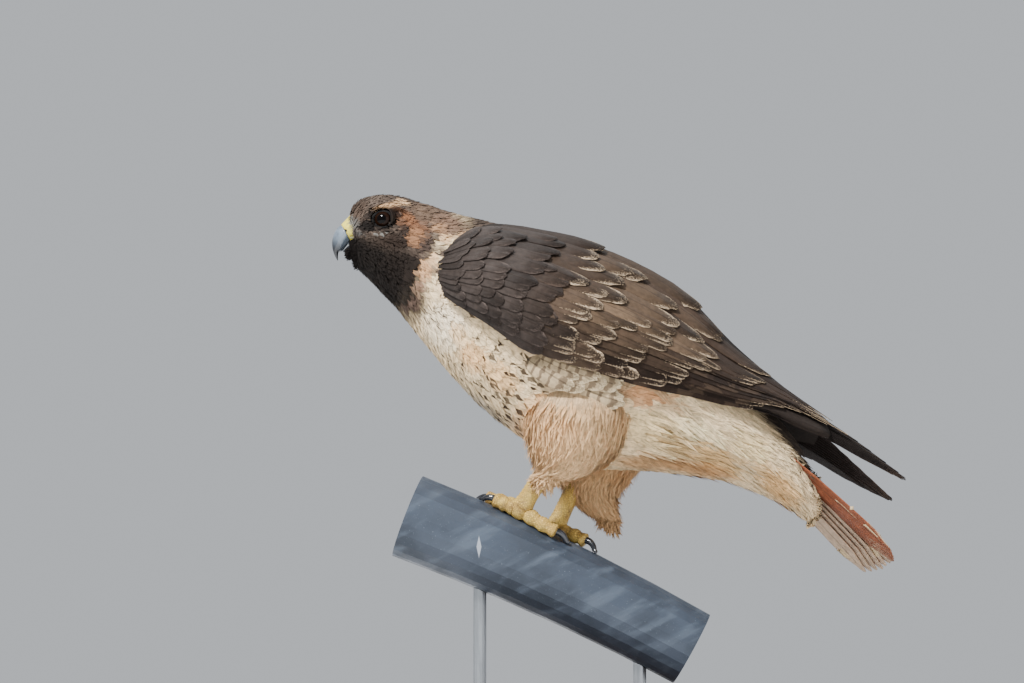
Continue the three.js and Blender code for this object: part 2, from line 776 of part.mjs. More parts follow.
// The long blades of the wing's tip lie in a stack, the inner ones on top
function wingBlades(side) {
  const shape = [[0, 0.8], [0.5, 1], [0.88, 0.8], [1, 0.3]];
  return count(BLADES).map((i) => wingStrip(side, shape.map(([k, width]) => {
    const place = i / (BLADES - 1);
    const tipS = mix(0.86, 0.92, place) + 0.115 * Math.sin(Math.PI * place ** 1.15);
    return {
      s: mix(0.62, Math.min(tipS, 1), k),
      t: mix(mix(0.2, 0.8, place), mix(0.3, 0.7, place), k),
      half: mix(7.5, 6, place) * width,
      lift: -1.8 - BLADE_LAYER * i,
      tilt: 0,
      thick: mix(0.75, 0.55, k),
    };
  }), [-1, 1]));
}

// Tiers of vanes, rear ones first. Each runs from its first vane, by the upper edge, to its
// last, by the lower edge, with their roots and tips as [s, t] and the lift at root and tip
const TIERS = {
  secondaries: {
    vanes: 4, roots: [[0.34, 0.58], [0.26, 0.93]], tips: [[0.74, 0.6], [0.56, 0.95]], lifts: [0.2, 1],
  },
  tertials: {
    vanes: 3, roots: [[0.38, 0.09], [0.35, 0.42]], tips: [[0.68, 0.11], [0.72, 0.44]], lifts: [0.3, 1.3],
  },
  greaterCoverts: {
    vanes: 4, roots: [[0.2, 0.43], [0.12, 0.92]], tips: [[0.48, 0.45], [0.37, 0.94]], lifts: [1.3, 2.6],
  },
  rearScapulars: {
    vanes: 3, roots: [[0.24, 0.06], [0.22, 0.31]], tips: [[0.5, 0.08], [0.47, 0.33]], lifts: [1.3, 2.8],
  },
  medianCoverts: {
    vanes: 4, roots: [[0.06, 0.38], [0.03, 0.9]], tips: [[0.27, 0.4], [0.2, 0.94]], lifts: [1.2, 3.2],
  },
  frontScapulars: {
    vanes: 3, roots: [[0.1, 0.06], [0.08, 0.27]], tips: [[0.34, 0.08], [0.31, 0.29]], lifts: [1.2, 3.2],
  },
};

const bodySpace = wholeBody(GAP);
const middleSheet = new THREE.BoxGeometry(800, GAP, 1000);

function wing(side) {
  const tiers = Object.values(TIERS).flatMap((tier) => wingTier(side, tier));
  const feathers = fuse([wingCore(side), ...wingBlades(side), ...tiers]);
  return cutAll(feathers, [bodySpace, solidFromGeometry(middleSheet)]);
}

// The tail

// Directions of the tail: along it, across it and away from its upper face
function tailFrame() {
  const along = vec(Math.cos(TAIL_DROOP), 0, -Math.sin(TAIL_DROOP));
  const level = vec(0, 1, 0);
  const across = level.clone().applyAxisAngle(along, -TAIL_ROLL);
  return { along, across, out: along.clone().cross(across) };
}

// One tail feather. Place is 0.5, 1.5, up to 5.5 from the middle, minus on the left.
// Each lies under the one nearer the middle, and a left one under its right twin
function tailVane(place) {
  const { along, across, out } = tailFrame();
  const away = Math.abs(place);
  const length = TAIL_LENGTH - 0.28 * away * away;
  const layer = TAIL_LAYER * (away - (place > 0 ? 0.5 : 0));
  const shape = [[0, 0.6], [0.55, 0.95], [0.94, 0.9], [1, 0.4]];
  const outer = [];
  const inner = [];
  shape.forEach(([k, width], r) => {
    outer.push([]);
    inner.push([]);
    [-1, 1].forEach((c) => {
      const point = vec(...TAIL_ROOT)
        .addScaledVector(along, length * k)
        .addScaledVector(across, place * mix(2.6, TAIL_SPACING, k) + c * TAIL_HALF_WIDTH * width)
        .addScaledVector(out, -layer - TAIL_SAG * k * k);
      outer[r].push(point);
      inner[r].push(point.clone().addScaledVector(out, -0.55));
    });
  });
  return solidFromSheets(outer, inner);
}

function tailVanes() {
  return count(TAIL_FEATHERS).map((i) => tailVane(i - (TAIL_FEATHERS - 1) / 2));
}

// The whole model

addNode('stand_base', 'wood', standBase());
addNode('stand_rod_front', 'steel', standRod(ROD_X.front));
addNode('stand_rod_rear', 'steel', standRod(ROD_X.rear));
addNode('perch_arm', 'pipe', perch());

const perchSpace = perch(GAP);
const [headPiece, neckPiece, torsoPiece, rumpPiece] = bodyPieces();

const headForm = fuse([headPiece, ...[LEFT, RIGHT].flatMap((side) => [brow(side), lid(side), gape(side)])]);
addNode('head', 'face', cutAll(headForm, [
  cere(GAP),
  upperBill(GAP),
  lowerBill(GAP),
  partingSlab(HEAD_TO),
  ...[LEFT, RIGHT].flatMap((side) => [eyeBall(side, GAP), mouthLine(side)]),
]));
addNode('neck', 'nape', neckPiece);
addNode('torso', 'breast', torsoPiece);
addNode('cere', 'cere', cutAll(cere(), [nostril(LEFT), nostril(RIGHT)]));
addNode('bill_upper', 'bill', upperBill());
addNode('bill_lower', 'bill', cutAll(lowerBill(), [cere(GAP), upperBill(GAP + 0.1)]));
addNode('eye_left', 'eye', eyeBall(LEFT));
addNode('eye_right', 'eye', eyeBall(RIGHT));

addNode('wing_left', 'wing', wing(LEFT));
addNode('wing_right', 'wing', wing(RIGHT));
addNode('tail', 'tail', cutAll(fuse([rumpPiece, ...tailVanes()]), [partingSlab(TORSO_TO)]));

for (const side of ['left', 'right']) {
  const thighSpace = thigh(side, GAP);
  addNode(`thigh_${side}`, 'thigh', cutAll(thigh(side), [bodySpace]));
  addNode(`tarsus_${side}`, 'skin', cutAll(tarsus(side), [thighSpace, foot(side, GAP), perchSpace]));
  addNode(`foot_${side}`, 'skin', cutAll(foot(side), [perchSpace]));
  for (const name of Object.keys(TOES[side])) {
    addNode(`claw_${side}_${name}`, 'claw', cutAll(claw(side, name), [perchSpace, foot(side, GAP)]));
  }
}

// The origin goes to the bottom centre of the whole model
const box = new THREE.Box3().setFromObject(group);
group.position.set(-(box.min.x + box.max.x) / 2, -(box.min.y + box.max.y) / 2, -box.min.z);

export default group;
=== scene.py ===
"""A life-size red-tailed hawk on a cut length of curved pipe, feather by feather.

Sizes in the tables are millimetres in the drawing frame of the solids, where x = 0 is the
middle of the perch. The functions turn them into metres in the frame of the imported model.
"""

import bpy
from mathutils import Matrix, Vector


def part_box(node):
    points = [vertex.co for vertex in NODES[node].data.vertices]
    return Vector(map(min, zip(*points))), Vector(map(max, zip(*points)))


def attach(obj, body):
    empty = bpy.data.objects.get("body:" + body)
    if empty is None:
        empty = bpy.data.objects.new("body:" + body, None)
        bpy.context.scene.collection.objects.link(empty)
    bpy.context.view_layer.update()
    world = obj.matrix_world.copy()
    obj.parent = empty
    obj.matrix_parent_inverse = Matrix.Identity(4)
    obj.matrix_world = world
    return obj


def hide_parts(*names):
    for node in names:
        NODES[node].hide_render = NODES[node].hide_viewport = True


bl_info = {
    "name": "Perched hawk",
    "version": (1, 0, 0),
    "blender": (4, 5, 0),
    "location": "View3D > Sidebar > Hawk",
    "description": "Feathers, bill, feet, perch and stage for a life-size red-tailed hawk",
    "category": "Object",
}

import math

import bmesh
import bpy
import numpy as np
from mathutils import Vector
from mathutils.bvhtree import BVHTree

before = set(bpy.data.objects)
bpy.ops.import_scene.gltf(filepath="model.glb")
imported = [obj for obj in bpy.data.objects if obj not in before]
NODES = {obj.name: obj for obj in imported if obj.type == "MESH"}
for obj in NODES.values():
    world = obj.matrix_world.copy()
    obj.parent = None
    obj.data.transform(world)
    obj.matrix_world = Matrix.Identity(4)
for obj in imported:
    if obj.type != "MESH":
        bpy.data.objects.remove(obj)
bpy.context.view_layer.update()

# The solids' own drawing has the base's middle at this x, in metres
BASE_MIDDLE = 0.025
BASE_LOW, BASE_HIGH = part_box("stand_base")
SHIFT = np.array([(BASE_LOW.x + BASE_HIGH.x) / 2 - BASE_MIDDLE, 0.0, 0.0])

FULL_TURN = 2 * math.pi
SIDES = ((-1, "left"), (1, "right"))
MARKS = ("spot", "bars", "streak", "trim")

# Body sections: top x, top z, bottom x, bottom z, half width
BODY = np.array([
    [-168, 410, -160, 379, 12.5], [-164, 417, -160, 373, 18], [-156, 424, -157, 366, 24],
    [-141, 427, -150, 360, 29], [-126, 426, -138, 347, 32], [-108, 420, -123, 331, 34],
    [-89, 413, -106, 310, 40], [-66, 407, -86, 286, 50], [-39, 400, -62, 260, 60],
    [-8, 392, -37, 240, 66], [24, 383, -10, 223, 68], [55, 367, 23, 212, 66],
    [85, 346, 62, 210, 60], [113, 315, 100, 206, 52], [138, 280, 135, 200, 43],
    [161, 255, 166, 188, 34], [178, 235, 185, 176, 24], [190, 214, 198, 165, 12],
])

# Wing sections: upper edge, middle and lower edge of the folded left wing
WING = np.array([
    [-80, -38, 384, -90, -50, 360, -84, -52, 334], [-54, -20, 401, -59, -72, 355, -50, -72, 313],
    [-16, -12, 397, -24, -80, 342, -17, -78, 293], [23, -8, 388, 13, -81, 326, 21, -78, 280],
    [62, -6, 371, 51, -74, 311, 58, -72, 269], [101, -6, 345, 89, -63, 294, 96, -62, 262],
    [135, -6, 309, 127, -50, 276, 134, -54, 253], [169, -6, 279, 166, -38, 262, 165, -50, 248],
    [206, -6, 250, 204, -28, 242, 204, -45, 233], [236, -9, 230, 235, -27, 223, 234, -40, 217],
    [258, -18, 209, 261, -27, 206, 259, -35, 202],
])
FAR_TIP_DROP = 11
FAR_TIP_SHORT = 2

# Legs: x, y, z and the half sizes along x and y, from the body down
THIGHS = {
    "left": np.array([
        [16, -34, 266, 28, 24], [14, -40, 248, 38, 27], [11, -39, 230, 35, 25],
        [8, -34, 215, 28, 19], [3, -29, 205, 18, 12], [-8, -25, 199, 9, 8],
    ]),
    "right": np.array([
        [24, 34, 262, 28, 24], [30, 40, 238, 36, 27], [31, 38, 220, 33, 24],
        [28, 33, 204, 25, 18], [26, 29, 191, 17, 12], [32, 28, 180, 9, 7], [38, 29, 172, 3, 3],
    ]),
}
TARSI = {"left": ((-7, -27, 215), (-28, -15, 181)), "right": ((15, 26, 206), (-3, 16, 169))}

# The pipe: its radius and taper, and its bend, slope and height at the middle
PERCH_RADIUS = 31.1
PERCH_TAPER = 0.0138
PERCH_BEND_RADIUS = 1700
PERCH_SLOPE = math.radians(25.3)
PERCH_HEIGHT = 123.6
PERCH_BEND = np.array([-PERCH_BEND_RADIUS * math.sin(PERCH_SLOPE), 0,
                       PERCH_HEIGHT - PERCH_BEND_RADIUS * math.cos(PERCH_SLOPE)])

# Places on the pipe as length along it and turn in degrees, 0 on top. Toes add swing and claw length
FOOT_MIDDLE = {"left": (-50, -18), "right": (-20, 24)}
TOES = {
    "left": {"hallux": (-20, -30, -10, 27), "inner": (-60, 36, 6, 25),
             "middle": (-76, 13, 4, 22), "outer": (-70, -17, -5, 20)},
    "right": {"hallux": (3, -2, -6, 27), "inner": (-40, 50, 0, 25),
              "middle": (-33, 116, 8, 27), "outer": (0, 84, 4, 22)},
}
FOOT_HEIGHT = 7
TOE_RADIUS = 5.8
TOE_TIP_RADIUS = 4.8
CLAW_RADIUS = 2.9
CLAW_TIP_RADIUS = 0.25

EYE_CENTRE = np.array([-137, 20.5, 402.2])
EYE_RADIUS = 7.5
LID_DISTANCE = 7.6
LID_FORWARD = 3.4
LID_WIDTH = 1.5
LID_DEPTH = 1.6
IRIS_AHEAD = 0.0016
# Soft edges of the pupil and the iris, in metres
PUPIL = (0.0034, 0.0039)
IRIS = (0.0058, 0.0068)

# Bill sections: top x, top z, bottom x, bottom z, half width
CERE = np.array([
    [-162, 413.5, -152, 389.8, 14], [-166.8, 408.3, -159.4, 389.7, 10.5], [-171.7, 403.1, -164, 389.5, 8.2],
])
UPPER_BILL = np.array([
    [-171.9, 402.8, -164.2, 389.3, 8], [-175.4, 399.1, -166.6, 387.1, 7.2],
    [-177.6, 394.7, -168.9, 383.9, 6], [-178.8, 389.1, -170.9, 381.7, 4.6],
    [-178.3, 383.5, -173.4, 380.9, 3.2], [-176.8, 378.9, -173.9, 378.6, 1.9],
    [-175.3, 375.8, -173.9, 376, 0.9], [-174.4, 374.3, -173.9, 374.5, 0.3],
])
LOWER_BILL = np.array([
    [-150, 390.6, -152, 381.5, 12], [-155.7, 389.6, -156.5, 381.1, 9], [-161.5, 388.4, -163, 380.9, 7.4],
    [-165.8, 386.1, -166.9, 380.6, 5.4], [-168.5, 383.5, -168.9, 380.6, 3], [-170, 382, -170, 381.2, 0.6],
])
MOUTH_CORNER = np.array([
    [-164.5, 7.2, 391.2], [-158, 11.2, 390.4], [-150, 15.6, 390.6], [-142, 19.4, 391.4], [-136, 22, 393.2],
    [-131, 23.6, 395.6],
])
NOSTRIL = [-168.5, 0, 396.4]
NOSTRIL_SIZE = (0.0022, 0.0014)
DROPPING = [-62.4, -31, 148]

TAIL_LENGTH = 157
TAIL_FEATHERS = 12
TAIL_ROOT = np.array([137.0, 0.0, 252.0])
TAIL_DROOP = math.radians(42.3)
TAIL_ROLL = math.radians(17)
TAIL_SPACING = 5.2
TAIL_CUT = [172, 0, 0]
TAIL_CUT_WAY = (1, 0, -0.6)
SKIN_SMOOTHINGS = 3

FARTHEST_LANDING = 9

# The camera of the side view: target, distance, tilt, and the width and size of its picture
AIM = np.array([-37.44, 0.0, 310.0])
DISTANCE = 1800.0
TILT = math.radians(9)
VIEW_WIDTH = 798.72
PICTURE = (1024, 683)


# Shared shapes

def metres(points):
    """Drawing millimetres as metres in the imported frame."""
    return np.asarray(points, float) / 1000 + SHIFT


def row_at(rows, s):
    """A smooth curve through the rows, at the places s."""
    s = np.clip(np.asarray(s, float), 0, len(rows) - 1)
    i = np.minimum(s.astype(int), len(rows) - 2)
    t = (s - i)[..., None]
    a, b = rows[i], rows[i + 1]
    leave = (b - rows[np.maximum(i - 1, 0)]) / 2
    arrive = (rows[np.minimum(i + 2, len(rows) - 1)] - a) / 2
    bend = 2 * (a - b) + leave + arrive
    return a + leave * t + (3 * (b - a) - 2 * leave - arrive) * t ** 2 + bend * t ** 3


def unit(v):
    return v / np.maximum(np.linalg.norm(v, axis=-1, keepdims=True), 1e-9)


def smooth(x, low, high):
    t = np.clip((np.asarray(x, float) - low) / (high - low), 0, 1)
    return t * t * (3 - 2 * t)


def around(count):
    """Evenly spaced turns."""
    return np.linspace(0, FULL_TURN, count, endpoint=False)


def kept(keep, *arrays):
    return [array[keep] for array in arrays]


def section(row):
    """The middle of a section and the way from there to its top."""
    top, bottom = (np.stack([row[..., i], 0 * row[..., i], row[..., i + 1]], -1) for i in (0, 2))
    return (top + bottom) / 2, (top - bottom) / 2


def oval(row, turn):
    """Points round a section, which is narrower above. A turn of 0 is the top."""
    centre, rise = section(row)
    width = row[..., 4] * (1 - 0.26 * np.maximum(0, np.cos(turn)))
    side = np.stack([0 * width, width * np.sin(turn), 0 * width], -1)
    return centre + rise * np.cos(turn)[..., None] + side


def body_at(s, turn):
    """The body's surface: s counts the sections, and turn is 0 on the back, minus on the left."""
    return oval(row_at(BODY, s), turn)


def thigh_at(side, s, turn):
    """The thigh's surface, downwards. A turn of 0 faces the bill."""
    row = row_at(THIGHS[side], s)
    return row[..., :3] + np.stack(
        [-row[..., 3] * np.cos(turn), row[..., 4] * np.sin(turn), 0 * turn], -1)


def pace(surface, s, turn):
    """Millimetres of surface for a step of 1 in s."""
    return np.linalg.norm(surface(s + 0.05, turn) - surface(s - 0.05, turn), axis=-1) / 0.1


def wing_at(side, s, t):
    """The folded wing's surface: s from the front edge to the tip, t from the upper to the lower edge."""
    s = np.clip(s, 0, 1)
    row = row_at(WING, s * (len(WING) - 1))
    t = np.asarray(t, float)[..., None]
    point = (row[..., :3] * 2 * (t - 0.5) * (t - 1) + row[..., 3:6] * 4 * t * (1 - t)
             + row[..., 6:] * 2 * t * (t - 0.5))
    if side > 0:
        bend = smooth(s, 0.5, 1)[..., None]
        point = point * [1, -1, 1] - bend * [FAR_TIP_SHORT, 0, FAR_TIP_DROP]
    return point


def wing_out(side, s, t):
    """The direction away from the body."""
    step = 0.015
    along = wing_at(side, s + step, t) - wing_at(side, s - step, t)
    across = wing_at(side, s, t + step) - wing_at(side, s, t - step)
    return unit(np.cross(along, across)) * side


def perch_axis(slope):
    """The pipe's middle where it slopes so, and the way up from there."""
    up = np.array([math.sin(slope), 0, math.cos(slope)])
    return PERCH_BEND + PERCH_BEND_RADIUS * up, up


def perch_at(along, turn, above):
    """A point above the pipe's surface, from a place in length and degrees."""
    axis, up = perch_axis(PERCH_SLOPE + along / PERCH_BEND_RADIUS)
    turn = math.radians(turn)
    way = up * math.cos(turn) + np.array([0, math.sin(turn), 0])
    return axis + (PERCH_RADIUS - PERCH_TAPER * along + above) * way


def clear_of_perch(point, distance):
    """The point, moved out until it is clear of the pipe."""
    slope = math.atan2(point[0] - PERCH_BEND[0], point[2] - PERCH_BEND[2])
    least = PERCH_RADIUS - PERCH_TAPER * (slope - PERCH_SLOPE) * PERCH_BEND_RADIUS + distance
    axis = perch_axis(slope)[0]
    away = point - axis
    return axis + unit(away) * max(least, np.linalg.norm(away))


def side_place(points):
    """Where points show in the side view from the left, in steps of its picture. Sides are alike."""
    x, y, z = points[..., 0], -np.abs(points[..., 1]), points[..., 2]
    ahead = np.array([0, math.cos(TILT), math.sin(TILT)])
    away = np.stack([x - AIM[0], y - AIM[1], z - AIM[2]], -1) + ahead * DISTANCE
    depth = away @ ahead
    up = away @ np.array([0, -math.sin(TILT), math.cos(TILT)])
    focal = DISTANCE * PICTURE[0] / VIEW_WIDTH
    return PICTURE[0] / 2 + focal * away[..., 0] / depth, PICTURE[1] / 2 - focal * up / depth


def linear(code):
    """A colour written as rrggbb, in Blender's linear values."""
    parts = np.array([int(code[i:i + 2], 16) / 255 for i in (0, 2, 4)])
    return np.where(parts <= 0.04045, parts / 12.92, ((parts + 0.055) / 1.055) ** 2.4)


def rgba(code):
    return (*linear(code), 1.0)


def blob(u, v, at, size, lean=0.0):
    """A soft patch round a place, 1 in its middle and 0 outside."""
    c, s = math.cos(math.radians(lean)), math.sin(math.radians(lean))
    du, dv = u - at[0], v - at[1]
    a, b = (du * c + dv * s) / size[0], (dv * c - du * s) / size[1]
    return np.clip(1.25 - 1.25 * (a * a + b * b), 0, 1) ** 0.7


def blend(base, colour, amount):
    return base + (linear(colour) - base) * np.clip(amount, 0, 1)[..., None]


# Markings and painted shade. Patches follow the regions of the bird: colour, place, size and lean

HEAD_PATCHES = [
    ("120f0d", (372, 262), (36, 26), 35), ("14100e", (398, 290), (34, 22), 48),
    ("15110f", (352, 246), (16, 12), 0), ("1a1512", (400, 262), (22, 20), 0),
    ("261e19", (395, 240), (22, 9), 0), ("6d4a34", (410, 226), (14, 12), 25),
    ("7a5238", (402, 214), (15, 6), 20), ("b08c68", (388, 205), (17, 3.4), -14),
    # 241f1c, the thin dark band along the brow, is painted shadow under the brow ridge
    ("bb9a76", (401, 201.5), (9, 2.6), 18), ("241f1c", (372, 213.5), (15, 3.2), -24),
    ("221d1b", (392, 212), (13, 5), 10), ("1f1c1c", (366, 227), (10, 7), 0),
    ("5b5854", (354, 224), (4.5, 7), -25), ("4c4946", (357, 233), (6, 3), 20),
    ("302823", (404, 232), (9, 10), 20), ("7c5a41", (414, 236), (9, 12), 15),
    ("4a3d34", (356, 210), (13, 9), -40), ("100d0c", (383, 222), (16, 12.5), 0),
    ("14110f", (366, 226), (10, 6), 0), ("6a6863", (379, 233.5), (9, 1.3), -6),
]
NECK_PATCHES = [
    ("5a493c", (425, 212), (22, 10), 20), ("6a5344", (445, 225), (24, 12), 20),
    ("c8a27a", (441, 236), (9, 5), 5), ("cfa981", (428, 256), (6, 8), 0), ("4f433d", (437, 250), (6, 5), 0),
    ("b98f69", (420, 268), (9, 12), 10), ("57483f", (432, 268), (7, 6), 0),
    ("d8b48c", (445, 262), (5, 18), 12), ("e0c6a2", (441, 280), (12, 14), 10),
    ("7c6250", (416, 282), (7, 9), 30), ("4a3b33", (412, 298), (6, 9), 25),
    ("3f342e", (420, 243), (9, 12), 20), ("8d6c51", (432, 226), (9, 6), 30),
    ("caa078", (459, 234), (9, 4), -25), ("4e3f36", (405, 300), (4, 12), 30),
]
BREAST_PATCHES = [
    ("ecdcc0", (440, 322), (28, 24), 50), ("dfae78", (470, 352), (20, 15), 45),
    ("e8c391", (455, 330), (14, 10), 45), ("e0b27c", (498, 375), (26, 14), 45),
    # 9a8f80 on the next line and 8c8275 below are grey bands along the breast's lower edge: painted shade of
    # its underside
    ("d9c19a", (462, 376), (34, 9), 48), ("9a8f80", (478, 402), (36, 7), 42),
    ("b5a184", (560, 372), (34, 26), 20), ("a08d73", (594, 384), (28, 22), 10),
    ("cbaf88", (530, 350), (30, 18), 35), ("d9c19a", (495, 325), (22, 12), 40),
    ("8c8275", (518, 426), (26, 7), 40),
]
REAR_PATCHES = [
    ("e8b885", (545, 425), (44, 40), 10), ("dfa66f", (560, 405), (30, 16), 25),
    ("edc595", (538, 448), (24, 26), 0), ("b9794a", (640, 395), (34, 12), 12),
    ("e2c795", (650, 430), (40, 24), 12), ("a98758", (668, 440), (9, 20), -20),
    ("ead7ab", (690, 425), (24, 14), 20), ("c49a62", (705, 455), (34, 15), 22),
    # a8733f on the next line and a87a4c on the one after are darker bands along the belly's lower edge:
    # painted shade of its underside
    ("e6cb98", (740, 440), (26, 16), 30), ("a8733f", (690, 466), (44, 10), 12),
    ("cf9f64", (770, 480), (34, 16), 38), ("a87a4c", (640, 462), (40, 9), 4),
]


def body_colour(points):
    """The plumage colour at each root, from the patches, with painted shade under the brow and along the
    body's lower edge.
    """
    u, v = side_place(points)
    colour = np.zeros(points.shape[:-1] + (3,)) + linear("dcc39b")
    colour = blend(colour, "54483f", 1 - smooth(u + (v - 235) * 0.55, 425, 452))
    for patches, strength in ((HEAD_PATCHES + NECK_PATCHES, 0.96), (BREAST_PATCHES + REAR_PATCHES, 0.75)):
        for code, at, size, lean in patches:
            colour = blend(colour, code, blob(u, v, at, size, lean) * strength)
    back = smooth(points[..., 2] - np.interp(points[..., 0], BODY[:, 0], BODY[:, 1]), -26, -12)
    return blend(colour, "463b33", back * smooth(u, 440, 470))


def spotting(points, rng):
    """How strongly each feather has a dark spot, bars and a streak."""
    u, v = side_place(points)
    chance = rng.random(u.shape)
    band = blob(u, v, (535, 372), (92, 34), 38) + blob(u, v, (500, 400), (80, 20), 40)
    spot = (chance < 0.3 * np.clip(band, 0, 1)) * (0.8 + 0.2 * rng.random(u.shape))
    bars = blob(u, v, (586, 372), (48, 40), 15) * 0.8
    streak = blob(u, v, (440, 310), (30, 40), 40) * (chance > 0.82)
    return spot, bars, streak


# Meshes

def placed(name, data):
    """A new object in the scene."""
    item = bpy.data.objects.new(name, data)
    bpy.context.scene.collection.objects.link(item)
    return item


def shade_smooth(mesh):
    mesh.polygons.foreach_set("use_smooth", np.ones(len(mesh.polygons), bool))


def paint(mesh, label, colours):
    """A colour for each point, which the materials read by its label."""
    full = np.ones((len(mesh.vertices), 4), np.float32)
    full[:, :3] = np.asarray(colours).reshape(-1, 3)
    mesh.attributes.new(label, "FLOAT_COLOR", "POINT").data.foreach_set("color", full.ravel())


def settle(piece, slot, *nodes):
    """Rides with the model and stands for the nodes. The slot is not used."""
    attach(piece, "root")
    if nodes:
        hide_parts(*nodes)
    return piece


def mesh_piece(name, points, faces, uv, bake, colours, values, material):
    """A piece from arrays: points in drawing mm, faces of four corners, maps and attributes by point."""
    mesh = bpy.data.meshes.new(name)
    co = metres(points).reshape(-1, 3)
    faces = np.asarray(faces, np.int32).reshape(-1, 4)
    mesh.vertices.add(len(co))
    mesh.vertices.foreach_set("co", co.astype(np.float32).ravel())
    mesh.loops.add(faces.size)
    mesh.loops.foreach_set("vertex_index", faces.ravel())
    mesh.polygons.add(len(faces))
    mesh.polygons.foreach_set("loop_start", np.arange(0, faces.size, 4, dtype=np.int32))
    mesh.polygons.foreach_set("loop_total", np.full(len(faces), 4, np.int32))
    mesh.update(calc_edges=True)
    mesh.validate()
    shade_smooth(mesh)
    corner = np.empty(len(mesh.loops), np.int32)
    mesh.loops.foreach_get("vertex_index", corner)
    for label, data in (("Feather", uv), ("OFBake", bake)):
        layer = mesh.uv_layers.new(name=label)
        layer.data.foreach_set("uv", np.asarray(data, np.float32).reshape(-1, 2)[corner].ravel())
    for label, data in colours.items():
        paint(mesh, label, data)
    for label, data in values.items():
        layer = mesh.attributes.new(label, "FLOAT", "POINT")
        layer.data.foreach_set("value", np.asarray(data, np.float32).ravel())
    mesh.materials.append(material)
    return placed(name, mesh)


def feathers(name, slot, kind, line, out, half, tint, edge, under=None, columns=5, bow=0.03, tilt=0.0,
             fray=0.0, point=0.5, marks=None, bake=None, thick=0.0, seed=1, nodes=()):
    """Feathers as one piece. Line holds N centre lines of R points, half their half widths."""
    rng = np.random.default_rng(seed)
    n, r = half.shape
    ahead = unit(np.gradient(line, axis=1))
    out = unit(out - ahead * np.sum(out * ahead, -1, keepdims=True))
    across = np.cross(out, ahead)
    col = np.linspace(-1, 1, columns)
    wide = half[..., None] * col
    rise = tilt * col - bow * wide ** 2
    grid = line[:, :, None] + across[:, :, None] * wide[..., None] + out[:, :, None] * rise[..., None]
    tip = point * half[:, -2, None] * (1 - np.abs(col) ** 2.2)
    tip = tip + fray * half[:, -2, None] * (rng.random((n, columns)) - 0.5)
    grid[:, -1] += ahead[:, -1, None] * tip[..., None]
    uv = np.stack(np.broadcast_arrays((col + 1) / 2, np.linspace(0, 1, r)[:, None]), -1)
    uv = np.broadcast_to(uv, (n, r, columns, 2))
    if bake is None:
        # Each feather has a cell of its own in the bake map
        cells = math.ceil(math.sqrt(n))
        cell = np.stack([np.arange(n) % cells, np.arange(n) // cells], -1)
        baked = (cell[:, None, None] + 0.05 + 0.9 * uv) / cells
    else:
        baked = bake[:, None, None] + 0.003 * (uv - 0.5)
    tints = np.broadcast_to(tint[:, None, None], (n, r, columns, 3))
    ring = columns
    if thick:
        back = grid - out[:, :, None] * thick
        below = np.broadcast_to((tint if under is None else under)[:, None, None], tints.shape)
        grid, uv, baked, tints = (np.concatenate([front, rear[:, :, ::-1]], 2) for front, rear in (
            (grid, back), (uv, uv), (baked, baked), (tints, below)))
        ring = 2 * columns
    index = np.arange(n * r * ring).reshape(n, r, ring)
    if thick:
        after = np.roll(index, -1, 2)
        sides = np.stack([index[:, :-1], index[:, 1:], after[:, 1:], after[:, :-1]], -1).reshape(-1, 4)
        cap = np.array([[i, i + 1, ring - 2 - i, ring - 1 - i] for i in range(columns - 1)])
        ends = [index[:, 0][:, cap].reshape(-1, 4), index[:, -1][:, cap[:, ::-1]].reshape(-1, 4)]
        faces = np.concatenate([sides] + ends)
    else:
        faces = np.stack([index[:, :-1, :-1], index[:, 1:, :-1], index[:, 1:, 1:], index[:, :-1, 1:]], -1)
    values = {}
    for label in MARKS:
        data = (marks or {}).get(label, 0.0) * np.ones(n)
        values[label] = np.broadcast_to(data[:, None, None], (n, r, ring))
    edges = np.broadcast_to(np.atleast_2d(edge)[:, None, None], (n, r, ring, 3))
    piece = mesh_piece(name, grid, faces, uv, baked, {"tint": tints, "edge": edges}, values, plumage(kind))
    return settle(piece, slot, *nodes)


def bm_piece(name, bm, material):
    mesh = bpy.data.meshes.new(name)
    bm.to_mesh(mesh)
    bm.free()
    shade_smooth(mesh)
    mesh.materials.append(material)
    return placed(name, mesh)


def loft(name, rings, material, closed=True):
    """A tube through rings of points, made by bridging one ring to the next."""
    bm = bmesh.new()
    loops = []
    for ring in rings:
        verts = [bm.verts.new(Vector(p)) for p in metres(ring)]
        loops.append([bm.edges.new((verts[i], verts[(i + 1) % len(verts)])) for i in range(len(verts))])
    for a, b in zip(loops, loops[1:]):
        bmesh.ops.bridge_loops(bm, edges=a + b)
    if closed:
        for ends in (loops[0], loops[-1]):
            bmesh.ops.contextual_create(bm, geom=ends)
    bmesh.ops.recalc_face_normals(bm, faces=bm.faces)
    return bm_piece(name, bm, material)


def ball(name, centre, radius, segments, rows, material):
    bm = bmesh.new()
    bmesh.ops.create_uvsphere(bm, u_segments=segments, v_segments=rows, radius=radius / 1000)
    bmesh.ops.translate(bm, verts=bm.verts, vec=Vector(metres(centre)))
    return bm_piece(name, bm, material)


def joined(name, pieces):
    """Several pieces as one."""
    with bpy.context.temp_override(active_object=pieces[0], selected_editable_objects=pieces):
        bpy.ops.object.join()
    pieces[0].name = name
    pieces[0].data.name = name
    return pieces[0]


# Materials

class Value:
    """A node's output. Sums with it add maths nodes."""

    def __init__(self, wires, socket):
        self.wires = wires
        self.socket = socket

    def __add__(self, other):
        return self.wires.math("ADD", self, other)

    def __sub__(self, other):
        return self.wires.math("SUBTRACT", self, other)

    def __rsub__(self, other):
        return self.wires.math("SUBTRACT", other, self)

    def __mul__(self, other):
        return self.wires.math("MULTIPLY", self, other)


